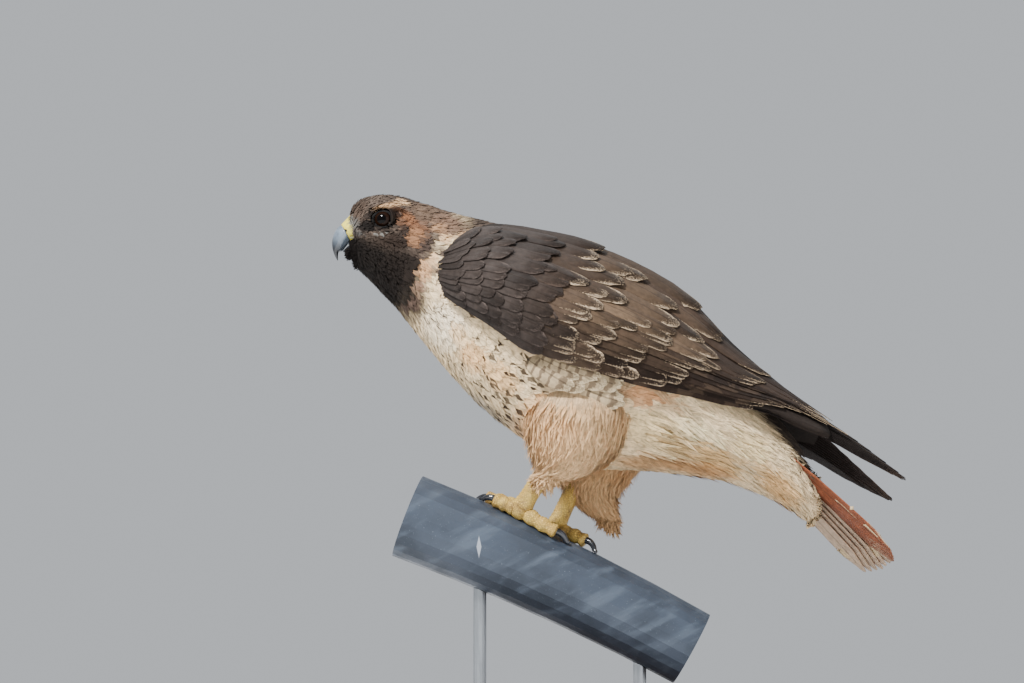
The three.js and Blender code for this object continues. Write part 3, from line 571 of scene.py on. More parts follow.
class Wires:
    """Short ways to add nodes to a tree and join them."""

    def __init__(self, tree):
        self.tree = tree

    def put(self, kind, inputs=None, **settings):
        """A node with its settings, and its inputs set or joined."""
        node = self.tree.nodes.new("ShaderNode" + kind)
        for key, value in settings.items():
            setattr(node, key, value)
        self.give(node, inputs or {})
        return node

    def give(self, node, inputs):
        for label, value in inputs.items():
            self.join(value, node.inputs[label])

    def join(self, value, socket):
        if isinstance(value, Value):
            value = value.socket
        if isinstance(value, bpy.types.NodeSocket):
            self.tree.links.new(value, socket)
        else:
            socket.default_value = value

    def math(self, operation, *values, clamp=False):
        node = self.put("Math", dict(enumerate(values)), operation=operation, use_clamp=clamp)
        return Value(self, node.outputs[0])

    def band(self, value, low, high):
        """0 below low, 1 above high."""
        node = self.put("MapRange", {0: value, 1: low, 2: high}, interpolation_type="SMOOTHSTEP")
        return Value(self, node.outputs[0])

    def mix(self, amount, a, b, blend_type="MIX"):
        return self.put("Mix", {0: amount, 6: a, 7: b}, data_type="RGBA", blend_type=blend_type).outputs[2]

    def shaded(self, colour, shade):
        grey = self.put("CombineColor", {0: shade, 1: shade, 2: shade})
        return self.mix(1.0, colour, grey.outputs[0], "MULTIPLY")

    def attribute(self, label, output="Color"):
        return self.put("Attribute", attribute_name=label).outputs[output]

    def position(self):
        return self.put("TexCoord").outputs["Object"]

    def parts(self, vector):
        return [Value(self, socket) for socket in self.put("SeparateXYZ", {0: vector}).outputs]

    def mapping(self, vector, label, value):
        return self.put("Mapping", {"Vector": vector, label: value}).outputs[0]

    def noise(self, vector, scale, detail=3.0):
        node = self.put("TexNoise", {"Vector": vector, "Scale": scale, "Detail": detail})
        return Value(self, node.outputs["Fac"])

    def cover(self, shader, amount, colour, code):
        """Lets another colour show over the shader's by an amount."""
        self.join(self.mix(amount, colour, rgba(code)), shader.inputs["Base Color"])

    def bump(self, shader, height, distance):
        node = self.put("Bump", {"Distance": distance, "Strength": 1.0, "Height": height})
        self.join(node.outputs[0], shader.inputs["Normal"])


def new_group(name, inputs, outputs):
    """A node group, as its wires, its inputs by label and its output node."""
    group = bpy.data.node_groups.new(name, "ShaderNodeTree")
    for way, sockets in (("INPUT", inputs), ("OUTPUT", outputs)):
        for label, kind in sockets.items():
            group.interface.new_socket(name=label, in_out=way, socket_type="NodeSocket" + kind)
    w = Wires(group)
    given = {socket.name: Value(w, socket) for socket in group.nodes.new("NodeGroupInput").outputs}
    return w, given, group.nodes.new("NodeGroupOutput")


def vane_group():
    """A feather's own drawing: shaft, barbs, pale trim, spot and bars."""
    w, given, result = new_group("Hawk vane", {
        "Tint": "Color", "Edge": "Color", "Spot": "Float", "Bars": "Float", "Streak": "Float",
        "Trim": "Float", "Barbs": "Float",
    }, {"Color": "Color", "Height": "Float"})
    u, v, _ = w.parts(w.put("UVMap", uv_map="Feather").outputs[0])
    side = w.math("ABSOLUTE", u - 0.5) * 2.0
    # Barbs run out and forward from the shaft
    wave = w.math("SINE", (v - side * 0.35) * given["Barbs"])
    wobble = w.noise(w.position(), 900.0, 2.0)
    rough = w.noise(w.position(), 260.0)
    colour = w.shaded(given["Tint"], wave * 0.09 + rough * 1.1 + 0.44)
    # Spot in the outer half, bars across, and a streak and the shaft along the middle
    reach = side * 0.62 + w.math("ABSOLUTE", v - 0.78) * 2.1 + (wobble - 0.5) * 0.5
    colour = w.mix((1.0 - w.band(reach, 0.42, 0.62)) * given["Spot"], colour, rgba("30231b"))
    bars = w.band(w.math("SINE", (v + (rough - 0.5) * 0.12) * 30.0), 0.25, 0.75)
    colour = w.mix(bars * given["Bars"], colour, rgba("5a4a3c"))
    colour = w.mix((1.0 - w.band(side, 0.1, 0.4)) * given["Streak"], colour, rgba("3d2f27"))
    shaft = 1.0 - w.band(side, 0.03, 0.1)
    colour = w.mix(shaft * 0.45, colour, rgba("2a211b"))
    # The pale trim at the tip and a narrower one along the sides
    start = 1.0 - given["Trim"] * 0.32
    rim = v + (wobble - 0.5) * 0.3 + w.math("POWER", side, 3.0) * 0.12
    rim = w.band(rim, start, start + 0.1) * w.math("GREATER_THAN", given["Trim"], 0.01)
    w.give(result, {"Color": w.mix(rim, colour, given["Edge"]), "Height": wave * 0.35 + shaft * 1.2})
    return w.tree


def wear_group():
    """Cloudy colour, grime and fine grain for hard surfaces."""
    w, given, result = new_group("Hawk wear", {
        "Base": "Color", "Second": "Color", "Scale": "Float", "Grain": "Float", "Stretch": "Vector",
    }, {"Color": "Color", "Roughness": "Float", "Height": "Float"})
    place = w.mapping(w.position(), "Scale", given["Stretch"])
    mask = w.band(w.noise(place, given["Scale"], 5.0), 0.35, 0.68)
    grain = w.noise(place, given["Grain"], 2.0)
    w.give(result, {"Color": w.mix(mask, given["Base"], given["Second"]), "Height": grain,
                    "Roughness": mask * 0.16 + grain * 0.3 + 0.26})
    return w.tree


def plain_material(name, roughness=0.5, metallic=0.0, specular=0.5):
    material = bpy.data.materials.new(name)
    material.use_nodes = True
    w, shader = Wires(material.node_tree), material.node_tree.nodes["Principled BSDF"]
    w.give(shader, {"Roughness": roughness, "Metallic": metallic, "Specular IOR Level": specular})
    return material, w, shader


# Plumage by its place: barbs in a feather's length, roughness, and depth of the relief in metres
PLUMAGE = {
    "Head": (40.0, 0.8, 0.00012), "Neck": (70.0, 0.8, 0.00012), "Breast": (150.0, 0.8, 0.00012),
    "Thigh": (60.0, 0.8, 0.0002), "Wing": (220.0, 0.6, 0.00012), "Flight": (420.0, 0.5, 0.00012),
    "Tail": (520.0, 0.55, 0.00012),
}


def plumage(kind):
    """Feathers: the vane group with each feather's own colours and marks."""
    name = f"{kind} plumage"
    if name in bpy.data.materials:
        return bpy.data.materials[name]
    barbs, roughness, relief = PLUMAGE[kind]
    material, w, shader = plain_material(name, roughness, 0.0, 0.07)
    group = w.put("Group", node_tree=bpy.data.node_groups.get("Hawk vane") or vane_group())
    w.give(group, {label.title(): w.attribute(label) for label in ("tint", "edge")})
    w.give(group, {label.title(): w.attribute(label, "Fac") for label in MARKS})
    w.give(group, {"Barbs": barbs})
    w.give(shader, {"Base Color": group.outputs["Color"], "Sheen Weight": 0.015, "Sheen Roughness": 0.5})
    w.bump(shader, group.outputs["Height"], relief)
    return material


def under_plumage():
    """The skin under the feathers, in the same colours and darker: painted shade in the gaps of the coat."""
    material, w, shader = plain_material("Skin under feathers", 0.9, 0.0, 0.1)
    grain = w.noise(w.position(), 700.0)
    # Painted shade: the plumage tint at 0.55 to 0.85 of its brightness, with fine grain
    w.join(w.shaded(w.attribute("tint"), grain * 0.3 + 0.55), shader.inputs["Base Color"])
    w.bump(shader, grain, 0.0004)
    return material


def hard_material(name, base, second, scale, grain, roughness=None, metallic=0.0, relief=0.00006,
                  coat=0.0, stretch=(1, 1, 1)):
    """Horn, bare skin, metal and wood, from the wear group."""
    material, w, shader = plain_material(name, roughness or 0.5, metallic)
    group = w.put("Group", node_tree=bpy.data.node_groups.get("Hawk wear") or wear_group())
    w.give(group, {"Base": rgba(base), "Second": rgba(second), "Scale": scale, "Grain": grain,
                   "Stretch": stretch})
    w.give(shader, {"Base Color": group.outputs["Color"], "Coat Weight": coat, "Coat Roughness": 0.12})
    if roughness is None:
        w.join(group.outputs["Roughness"], shader.inputs["Roughness"])
    w.bump(shader, group.outputs["Height"], relief)
    return material, w, shader, group.outputs["Color"]


def bill_material():
    """Blue-grey horn that darkens to black at the tip."""
    material, w, shader, colour = hard_material("Bill horn", "6f7a86", "59636e", 160.0, 900.0, 0.3,
                                                coat=0.35)
    x, _, z = w.parts(w.position())
    front, _, low = metres([-172, 0, 377]).tolist()
    high = metres([0, 0, 395]).tolist()[2]
    w.cover(shader, 1.0 - w.band(z - (x - front) * -0.9, low, high), colour, "16171b")
    return material


def cere_material():
    """Smooth yellow skin with painted shade for the nostrils: dark ovals where the holes would be."""
    material, w, shader, colour = hard_material("Cere skin", "d8c94f", "c2b049", 200.0, 1600.0, 0.45,
                                                relief=0.0001)
    at = metres(NOSTRIL).tolist()
    x, _, z = w.parts(w.position())
    dx, dz = (x - at[0]) * (1 / NOSTRIL_SIZE[0]), (z - at[2]) * (1 / NOSTRIL_SIZE[1])
    # Painted shade: a near-black oval stands for each nostril's hole, which the cere's shape lacks
    w.cover(shader, 1.0 - w.band(dx * dx + dz * dz, 0.6, 1.3), colour, "0c0a08")
    return material


def leg_material():
    """Scaled yellow skin of the legs, with painted shade in the creases between the scales and cloudy brown
    dirt.
    """
    material, w, shader, colour = hard_material("Leg skin", "d3b25a", "c19a48", 90.0, 1500.0, 0.5,
                                                relief=0.0002)
    cells = w.put("TexVoronoi", {"Scale": 620.0, "Vector": w.position()}, feature="DISTANCE_TO_EDGE")
    distance = cells.outputs["Distance"]
    cloud = w.band(w.noise(w.position(), 120.0, 4.0), 0.45, 0.7)
    # Painted shade: the creases between the scales are darkened brown, and the cloudy noise adds real dirt
    crease_shade_and_dirt = w.math("MULTIPLY", 1.0 - w.band(distance, 0.02, 0.16) + cloud, 0.45, clamp=True)
    w.cover(shader, crease_shade_and_dirt, colour, "6b5230")
    w.bump(shader, w.band(distance, 0.0, 0.25), 0.0005)
    return material


def pipe_material():
    """Weathered galvanised grey: streaks along the pipe, faint specks and one pale dropping."""
    material, w, shader, colour = hard_material("Galvanised pipe", "3c4552", "2b333e", 26.0, 500.0,
                                                metallic=0.25, relief=0.00008)
    position = w.position()
    along = w.mapping(w.mapping(position, "Rotation", (0, PERCH_SLOPE, 0)), "Scale", (0.25, 1.0, 1.6))
    colour = w.mix(w.band(w.noise(along, 60.0, 4.0), 0.5, 0.72), colour, rgba("4a5461"))
    colour = w.mix(w.band(w.noise(position, 900.0, 2.0), 0.66, 0.78), colour, rgba("5f6974"))
    x, y, z = w.parts(position)
    at = metres(DROPPING).tolist()
    reach = w.math("ABSOLUTE", x - at[0]) * 520.0 + w.math("ABSOLUTE", z - at[2]) * 115.0
    drop = (1.0 - w.band(reach, 0.8, 1.1)) * w.math("LESS_THAN", y, 0.0)
    w.cover(shader, drop * 0.6, colour, "b9bec6")
    return material


# Settings

def millimetres(name, description, default, low, high):
    return bpy.props.FloatProperty(name=name, description=description, default=default, min=low, max=high)


def shade(name, description, default):
    return bpy.props.FloatVectorProperty(name=name, description=description, subtype="COLOR", size=3,
                                         default=tuple(default))


class HawkSizes(bpy.types.PropertyGroup):
    """Sizes of the coat, in millimetres."""
    coat_depth: millimetres("Coat depth", "How far the skin lies inside the plumage", 2.2, 0.5, 6.0)
    voxel: millimetres("Skin grid", "Grid size of the joined skin", 2.6, 1.5, 6.0)
    head_feather: millimetres("Head feather", "Length of the feathers on the head", 6.0, 2.0, 12.0)
    breast_feather: millimetres("Breast feather", "Length of the feathers on the breast", 17.0, 8.0, 30.0)
    tuft_length: millimetres("Tuft length", "Length of the soft tufts on the thighs", 25.0, 8.0, 40.0)


class HawkColours(bpy.types.PropertyGroup):
    """Colours of the flight feathers and the stage."""
    wing_dark: shade("Wing, dark", "Dark brown of the wing", linear("241b16"))
    wing_brown: shade("Wing, brown", "Paler brown patches of the wing", linear("62503f"))
    wing_edge: shade("Wing, edge", "Pale edges of the wing's feathers", linear("bfa88c"))
    tail_upper: shade("Tail, above", "Rufous upper side of the tail", linear("8c5138"))
    tail_under: shade("Tail, below", "Pale underside of the tail", linear("b79f88"))
    floor: shade("Floor", "Pale floor of the stage", (0.8, 0.8, 0.8))


# Pieces

def hawk_skin():
    """One skin over head, neck, torso and thighs, joined, smoothed and drawn in."""
    sizes = bpy.context.scene.hawk_sizes
    bm = bmesh.new()
    for node in ("head", "neck", "torso", "thigh_left", "thigh_right", "tail"):
        copy = bmesh.new()
        copy.from_mesh(NODES[node].data)
        bmesh.ops.remove_doubles(copy, verts=copy.verts, dist=1e-6)
        if node == "tail":
            # Only the tail's root belongs to the skin
            bmesh.ops.bisect_plane(copy, geom=copy.verts[:] + copy.edges[:] + copy.faces[:],
                                   plane_co=metres(TAIL_CUT), plane_no=TAIL_CUT_WAY, clear_outer=True)
            bmesh.ops.holes_fill(copy, edges=[e for e in copy.edges if e.is_boundary])
        part = bpy.data.meshes.new(node)
        copy.to_mesh(part)
        copy.free()
        bm.from_mesh(part)
        bpy.data.meshes.remove(part)
    piece = bm_piece("hawk_skin", bm, under_plumage())
    remesh = piece.modifiers.new("join", "REMESH")
    remesh.mode = "VOXEL"
    remesh.voxel_size = sizes.voxel / 1000
    bm = bmesh.new()
    bm.from_mesh(piece.evaluated_get(bpy.context.evaluated_depsgraph_get()).data)
    piece.modifiers.clear()
    for _ in range(SKIN_SMOOTHINGS):
        bmesh.ops.smooth_vert(bm, verts=bm.verts, factor=0.5, use_axis_x=True, use_axis_y=True,
                              use_axis_z=True)
    bm.normal_update()
    for vert in bm.verts:
        vert.co -= vert.normal * sizes.coat_depth / 1000
    bmesh.ops.recalc_face_normals(bm, faces=bm.faces)
    bm.to_mesh(piece.data)
    bm.free()
    co = np.empty(len(piece.data.vertices) * 3, np.float32)
    piece.data.vertices.foreach_get("co", co)
    paint(piece.data, "tint", body_colour((co.reshape(-1, 3) - SHIFT) * 1000))
    shade_smooth(piece.data)
    return settle(piece, "plumage_breast", "head", "neck", "torso", "thigh_left", "thigh_right")


def tree_of(piece):
    bm = bmesh.new()
    bm.from_mesh(piece.data)
    tree = BVHTree.FromBMesh(bm)
    bm.free()
    return tree


def laid(tree, points, lift):
    """Points of N centre lines dropped on the skin and raised by lift, with the skin's normals."""
    spots = metres(points)
    normals = np.zeros_like(spots)
    flat, out = spots.reshape(-1, 3), normals.reshape(-1, 3)
    for i, spot in enumerate(flat):
        flat[i], out[i] = tree.find_nearest(Vector(spot))[:2]
    return (spots - SHIFT) * 1000 + normals * lift[..., None], normals


def bake_place(u, v):
    """A place in the bake map, kept a little inside its border."""
    return 0.02 + 0.96 * np.stack([u, v], -1)


def body_bake(s, turn):
    return bake_place(turn / FULL_TURN + 0.5, s / (len(BODY) - 1))


def rows_on_body(first, last, gap, width, rng, jitter):
    """Roots in staggered rows, as sections and turns. Gap and width are a start and a growth."""
    places = []
    s = first
    row = 0
    while s < last:
        wide = row_at(BODY, np.array([s]))[0]
        ring = math.pi * (wide[4] + np.linalg.norm(wide[:2] - wide[2:4]) / 2)
        n = max(8, int(ring / (width[0] + width[1] * s)))
        turn = (np.arange(n) + 0.5 * (row % 2) + jitter * (rng.random(n) - 0.5)) / n * FULL_TURN - math.pi
        step = (gap[0] + gap[1] * s) / pace(body_at, np.array([s]), np.array([1.6]))[0]
        places.append(np.stack([s + step * jitter * (rng.random(n) - 0.5), turn], -1))
        s += step
        row += 1
    s, turn = np.concatenate(places).T
    return np.maximum(s, 0.02), turn


def lay_body_feathers(name, kind, tree, places, length, width, lifts, seed, stations=5, hide=None,
                      swing=0.12, barring=1.0, **more):
    """Feathers on the body from their places, lengths and widths."""
    rng = np.random.default_rng(seed)
    s, turn = places
    n = len(s)
    length = length * (0.88 + 0.24 * rng.random(n))
    width = width * (0.88 + 0.24 * rng.random(n))
    k = np.linspace(0, 1, stations)
    run = s[:, None] + (length / pace(body_at, s, turn))[:, None] * k
    line = body_at(run, turn[:, None] + swing * (rng.random(n) - 0.5)[:, None] * k)
    if hide:
        line, width, s, turn = kept(~hide(line), line, width, s, turn)
    rise = np.interp(k, [0, 0.3, 1], lifts) * (0.85 + 0.3 * rng.random(len(s)))[:, None]
    free = line
    line, out = laid(tree, line, rise)
    # Feathers that would land on a thigh are left out
    near = np.linalg.norm(line - free, axis=-1).max(1) < FARTHEST_LANDING
    line, out, width, s, turn = kept(near, line, out, width, s, turn)
    half = width[:, None] / 2 * np.interp(k, [0, 0.35, 0.75, 1], [0.55, 1, 0.95, 0.5])
    tint = body_colour(line[:, stations // 2]) * (0.86 + 0.28 * rng.random((len(s), 1)))
    spot, bars, streak = spotting(line[:, -2], rng)
    feathers(name, "plumage_" + kind.lower(), kind, line, out, half, tint, np.clip(tint * 1.35, 0, 1),
             marks={"spot": spot, "bars": bars * barring, "streak": streak}, bake=body_bake(s, turn),
             seed=seed, **more)


def under_wing(line):
    """True for centre lines that the folded wing covers."""
    middle = line[:, line.shape[1] // 2]
    x, y, z = middle[:, 0], np.abs(middle[:, 1]), middle[:, 2]
    shell = wing_at(-1, *np.meshgrid(np.linspace(0.03, 1, 60), np.linspace(0.05, 0.95, 19), indexing="ij"))
    lower = shell[np.clip(np.searchsorted(shell[:, 9, 0], x), 1, len(shell) - 1), -1, 2]
    front = shell[0, :, 0].min() + 6
    # Behind the thighs this holds up to the middle of the back, a little higher up
    return (x > front) & (z > lower + 7) & (y > 12) | (x > 60) & (z > lower + 16)


def under_wing_or_tail(line):
    """True also for centre lines that end over the tail's root."""
    return under_wing(line) | (line[:, -1, 0] > 184) & (line[:, -1, 2] > 203)


def round_eye(line):
    """True for centre lines that would cover an eye, the cere or the bill."""
    away = np.hypot((line[..., 0] - EYE_CENTRE[0]) / 1.05, (line[..., 2] - EYE_CENTRE[2]) / 0.86)
    x, _, z = line[:, 0].T
    over_eye = ((away < LID_DISTANCE) & (np.abs(line[..., 1]) > 12)).any(1)
    return over_eye | (x < -163.5) & (z < 411) & (z > 383)


# Short tufts round the bill: how many, colour, length, width, range of turns, the sections they grow
# from, how many of these they cover, and how far back they start
FACE_TUFTS = {
    "throat": (500, "1d1917", 6.0, 2.0, (1.9, 3.14), BODY, 1.6, 3.5),
    "chin": (420, "1d1917", 7.5, 2.0, (1.7, 3.14), LOWER_BILL, 2.4, 3.5),
    "forehead": (300, "4a4039", 5.5, 1.8, (0.0, 1.0), CERE, 1.0, 6.5),
    "bristles": (420, "8a8780", 8.0, 0.35, (0.7, 1.95), CERE, 1.0, 6.5),
}


def face_tufts(side, label):
    """Feathers that close the throat, chin and forehead round the bill, and bristles before the eye."""
    rng = np.random.default_rng(12)
    k = np.linspace(0, 1, 4)[:, None]
    for name, (count, code, reach, width, (low, high), rows, sections, back) in FACE_TUFTS.items():
        turn = low + (high - low) * rng.random(count)
        row = row_at(rows, sections * rng.random(count))
        centre, rise = section(row)
        spoke = rise * np.cos(turn)[:, None] + (row[:, 4] * np.sin(turn))[:, None] * [0, side, 0]
        root = centre + spoke * 0.9 + [back, 0, 0]
        out = unit(spoke)
        way = unit(np.array([-0.8, 0, -0.35]) + out * 0.25 + 0.35 * (rng.random((count, 3)) - 0.5))
        line = root[:, None] + (way * reach * (0.6 + 0.6 * rng.random((count, 1))))[:, None] * k
        line = line + out[:, None] * (1.4 * np.sin(2.2 * k))
        half = width / 2 * np.ones((count, 1)) * np.interp(k[:, 0], [0, 0.4, 1], [0.7, 1, 0.4])
        tint = linear(code) * (0.8 + 0.4 * rng.random((count, 1)))
        feathers(f"{name}_{label}", "plumage_head", "Head", line, np.repeat(out[:, None], 4, 1), half, tint,
                 tint * 1.3, columns=3, fray=0.8, point=1.0, seed=13)


def hawk_coat(tree):
    """Small feathers of head, neck, breast, flanks and rump."""
    sizes = bpy.context.scene.hawk_sizes
    rng = np.random.default_rng(11)
    places = rows_on_body(0.02, 4.9, (1.25, 0.12), (1.55, 0.12), rng, 0.8)
    lay_body_feathers("head_feathers", "Head", tree, places, sizes.head_feather, 2.6, [0.2, 1.4, 2.5], 21,
                      columns=4, stations=4, hide=round_eye, fray=0.9, point=0.9, swing=0.25, bow=0.1)
    for side, label in SIDES:
        face_tufts(side, label)
    places = rows_on_body(4.6, 7.6, (2.1, 0), (2.9, 0), rng, 0.7)
    lay_body_feathers("neck_feathers", "Neck", tree, places, 12.0, 5.4, [0.2, 1.7, 3.0], 22, fray=0.9,
                      point=0.9, swing=0.2, bow=0.05)
    places = rows_on_body(7.2, 14.6, (3.4, 0), (4.6, 0), rng, 0.45)
    lay_body_feathers("breast_feathers", "Breast", tree, places, sizes.breast_feather, 9.5,
                      [0.2, 1.8, 3.2], 23, columns=7, stations=6, hide=under_wing, fray=0.5, point=0.6,
                      bow=0.015)
    places = rows_on_body(13.6, 16.9, (3.2, 0), (4.0, 0), rng, 0.6)
    lay_body_feathers("vent_feathers", "Breast", tree, places, 24.0, 8.0, [0.2, 2.6, 4.2], 24, columns=7,
                      stations=6, hide=under_wing_or_tail, fray=0.9, point=0.9, swing=0.3, barring=0.0)


def tuft_half(k, low, spread, tip, rng, count):
    """Half widths of soft tufts, which narrow to both ends."""
    return (low + spread * rng.random(count))[:, None] * np.interp(k, [0, 0.4, 0.8, 1], [0.6, 1, *tip])


def thigh_tufts(side, count, rng):
    """Soft tufts that hang round a thigh and past its lower end."""
    rows = THIGHS[side]
    last = len(rows) - 1
    s = 0.1 + (last - 0.55) * rng.random(count) ** 0.9
    turn = FULL_TURN * rng.random(count)
    length = bpy.context.scene.hawk_sizes.tuft_length * (0.6 + 0.6 * rng.random(count))
    length = length * np.interp(s, [0, last], [1.1, 0.55])
    k = np.linspace(0, 1, 5)
    speed = pace(lambda *place: thigh_at(side, *place), s, turn)
    run = s[:, None] + (length / np.maximum(speed, 5))[:, None] * k
    run = np.minimum(run, last + 0.9 * rng.random((count, 1)) ** 2)
    over = np.clip(run - last, 0, None)
    run = np.minimum(run, last)
    line = thigh_at(side, run, turn[:, None] + 0.5 * (rng.random(count) - 0.5)[:, None] * k)
    line = line - over[..., None] * [0, 0, 12]
    out = unit((line - row_at(rows, run)[..., :3]) * [1, 1, 0.2])
    line = line + out * np.interp(k, [0, 0.3, 1], [-1.5, 1.4, 1.9])[:, None]
    flare = (3.5 * rng.random(count) * np.interp(s, [0, last], [0.3, 1.3]))[:, None] * k ** 2
    drift = (rng.random((count, 3)) - 0.5) * [7, 7, 3]
    line = line + out * flare[..., None] + drift[:, None] * (k ** 2)[:, None]
    inside = (np.abs(line[:, 0, 1]) < 22) & (s < 1.2)
    line, out, s, turn = kept(~inside, line, out, s, turn)
    n = len(s)
    half = tuft_half(k, 0.6, 0.9, (0.75, 0.25), rng, n)
    tint = body_colour(line[:, 1]) * 0.35 + linear("eebd88") * 0.65
    # Painted shade: the far, right thigh's tufts are darkened
    if side == "right":
        tint = tint * [0.86, 0.83, 0.8]
    tint = tint * (0.92 + 0.14 * rng.random((n, 1)))
    feathers(f"thigh_tufts_{side}", "plumage_thigh", "Thigh", line, out, half, tint,
             np.clip(tint * 1.2, 0, 1), columns=4, fray=1.6, point=1.4, bow=0.05, marks={"trim": 0.3},
             bake=bake_place(turn / FULL_TURN, s / len(rows)), seed=33)


def thigh_top(side, rng):
    """Tufts that lead from the flank over a thigh's upper end."""
    outer = -1 if side == "left" else 1
    count = 1500
    turn = outer * math.pi / 2 + 1.9 * (2 * rng.random(count) - 1)
    low = thigh_at(side, 0.7 + 0.8 * rng.random(count), turn)
    knee = thigh_at(side, 0.1 + 0.3 * rng.random(count), turn)
    rise = 20 * rng.random(count) ** 1.5
    root = knee + (knee - low) * 0.35 + np.stack([0 * turn, -outer * 5 + 0 * turn, rise], -1)
    k = np.linspace(0, 1, 5)[:, None]
    line = (root[:, None] * (1 - k) ** 2 + (knee[:, None] + [0, outer * 5.0, 0]) * 2 * k * (1 - k)
            + (low[:, None] + [0, outer * 2.5, 0]) * k ** 2)
    out = unit((line - THIGHS[side][1, :3]) * [1, 1, 0.3])
    half = tuft_half(k[:, 0], 0.8, 1.6, (0.75, 0.25), rng, count)
    tint = (body_colour(root) * 0.65 + linear("eebd88") * 0.35) * (0.92 + 0.14 * rng.random((count, 1)))
    feathers(f"thigh_top_{side}", "plumage_thigh", "Thigh", line, out, half, tint,
             np.clip(tint * 1.2, 0, 1), columns=4, fray=1.6, point=1.4, marks={"trim": 0.2}, seed=36)


def flank_fan(rng):
    """The flank's barred fringe over the thighs."""
    count = 60
    s = 8.7 + 1.5 * rng.random(count)
    turn = (1.4 + 0.6 * rng.random(count)) * np.where(np.arange(count) % 2, -1, 1)
    s, turn = kept(np.argsort(-s), s, turn)
    k = np.linspace(0, 1, 7)
    line = body_at(s[:, None] + 1.05 * k, turn[:, None] + 0.12 * (rng.random(count) - 0.5)[:, None] * k)
    out = unit(unit(line - [60, 0, 290]) * [0.2, 1, 0.4])
    line = line + out * (np.interp(k, [0, 0.3, 1], [-1, 5, 8]) + 2 * rng.random((count, 1)))[..., None]
    half = 8.5 * (0.8 + 0.4 * rng.random(count))[:, None]
    half = half * np.interp(k, [0, 0.3, 0.8, 1], [0.5, 0.9, 1, 0.8])
    tint = linear("ab9778") * (0.8 + 0.4 * rng.random((count, 1)))
    feathers("flank_fan", "plumage_breast", "Breast", line, out, half, tint, linear("d6c3a0"), columns=11,
             fray=0.35, point=0.7, marks={"bars": 0.75, "trim": 0.2}, thick=0.3, seed=34)


def vent_tufts(tree, rng):
    """Loose tufts from the belly to the tail's root."""
    count = 2600
    s = 11.6 + 4.6 * rng.random(count)
    turn = (1.05 + 1.6 * rng.random(count)) * np.where(rng.random(count) < 0.5, -1, 1)
    k = np.linspace(0, 1, 5)
    run = s[:, None] + 0.85 * (0.6 + 0.7 * rng.random(count))[:, None] * k
    line = body_at(run, turn[:, None] + 0.5 * (rng.random(count) - 0.5)[:, None] * k)
    rise = np.interp(k, [0, 0.3, 1], [0.2, 3.4, 5.6]) * (0.7 + 0.5 * rng.random(count))[:, None]
    line, rise, s, turn = kept(~under_wing(line), line, rise, s, turn)
    line, out = laid(tree, line, rise)
    half = tuft_half(k, 0.8, 2.0, (0.7, 0.2), rng, len(s))
    tint = body_colour(line[:, 2]) * (0.85 + 0.4 * rng.random((len(s), 1)))
    feathers("vent_tufts", "plumage_breast", "Thigh", line, out, half, tint, np.clip(tint * 1.25, 0, 1),
             columns=4, fray=1.6, point=1.6, marks={"trim": 0.3}, bake=body_bake(s, turn), seed=35)


def hawk_tufts(tree):
    """Soft tufts on the thighs, the flank's fringe and the vent."""
    rng = np.random.default_rng(31)
    for side, count in (("left", 7200), ("right", 5600)):
        thigh_tufts(side, count, rng)
        thigh_top(side, rng)
    flank_fan(rng)
    vent_tufts(tree, rng)


# Rows of feathers on the folded wing, rear ones first: vanes, roots and tips as [s, t] from the
# upper to the lower edge, half width over spacing, lift at the tip, and how brown the row is
WING_ROWS = [
    (9, (0.34, 0.5), (0.2, 0.97), (0.84, 0.52), (0.62, 0.985), 0.85, 0.6, 0.05),
    (4, (0.4, 0.07), (0.36, 0.46), (0.76, 0.12), (0.79, 0.47), 0.85, 1.2, 0.1),
    (9, (0.2, 0.44), (0.1, 0.965), (0.57, 0.5), (0.44, 0.975), 0.85, 1.6, 0.25),
    (5, (0.42, 0.07), (0.36, 0.46), (0.66, 0.1), (0.62, 0.46), 0.85, 1.7, 0.2),
    (5, (0.34, 0.07), (0.28, 0.44), (0.565, 0.08), (0.535, 0.45), 0.85, 2.0, 0.45),
    (9, (0.16, 0.4), (0.07, 0.96), (0.46, 0.43), (0.36, 0.97), 0.85, 2.0, 0.5),
    (5, (0.26, 0.07), (0.2, 0.42), (0.475, 0.08), (0.45, 0.44), 0.85, 2.3, 0.6),
    (9, (0.13, 0.36), (0.05, 0.95), (0.395, 0.4), (0.3, 0.965), 0.85, 2.3, 0.95),
    (5, (0.18, 0.07), (0.14, 0.4), (0.39, 0.08), (0.365, 0.41), 0.85, 2.5, 0.4),
    (9, (0.09, 0.32), (0.03, 0.94), (0.33, 0.36), (0.245, 0.96), 0.85, 2.4, 0.55),
    (5, (0.11, 0.07), (0.08, 0.36), (0.31, 0.08), (0.29, 0.37), 0.85, 2.7, 0.25),
    (9, (0.06, 0.26), (0.01, 0.93), (0.265, 0.3), (0.195, 0.95), 0.85, 2.5, 0.2),
    (5, (0.05, 0.07), (0.03, 0.3), (0.235, 0.08), (0.22, 0.3), 0.85, 2.8, 0.1),
    (10, (0.03, 0.2), (-0.01, 0.92), (0.205, 0.22), (0.15, 0.95), 0.8, 2.6, 0.1),
    (11, (0.0, 0.14), (-0.02, 0.9), (0.155, 0.14), (0.11, 0.94), 0.8, 2.6, 0.15),
    (12, (-0.02, 0.1), (-0.03, 0.9), (0.11, 0.1), (0.075, 0.93), 0.8, 2.6, 0.05),
    (13, (-0.02, 0.08), (-0.03, 0.9), (0.07, 0.08), (0.04, 0.92), 0.8, 2.4, 0.0),
]


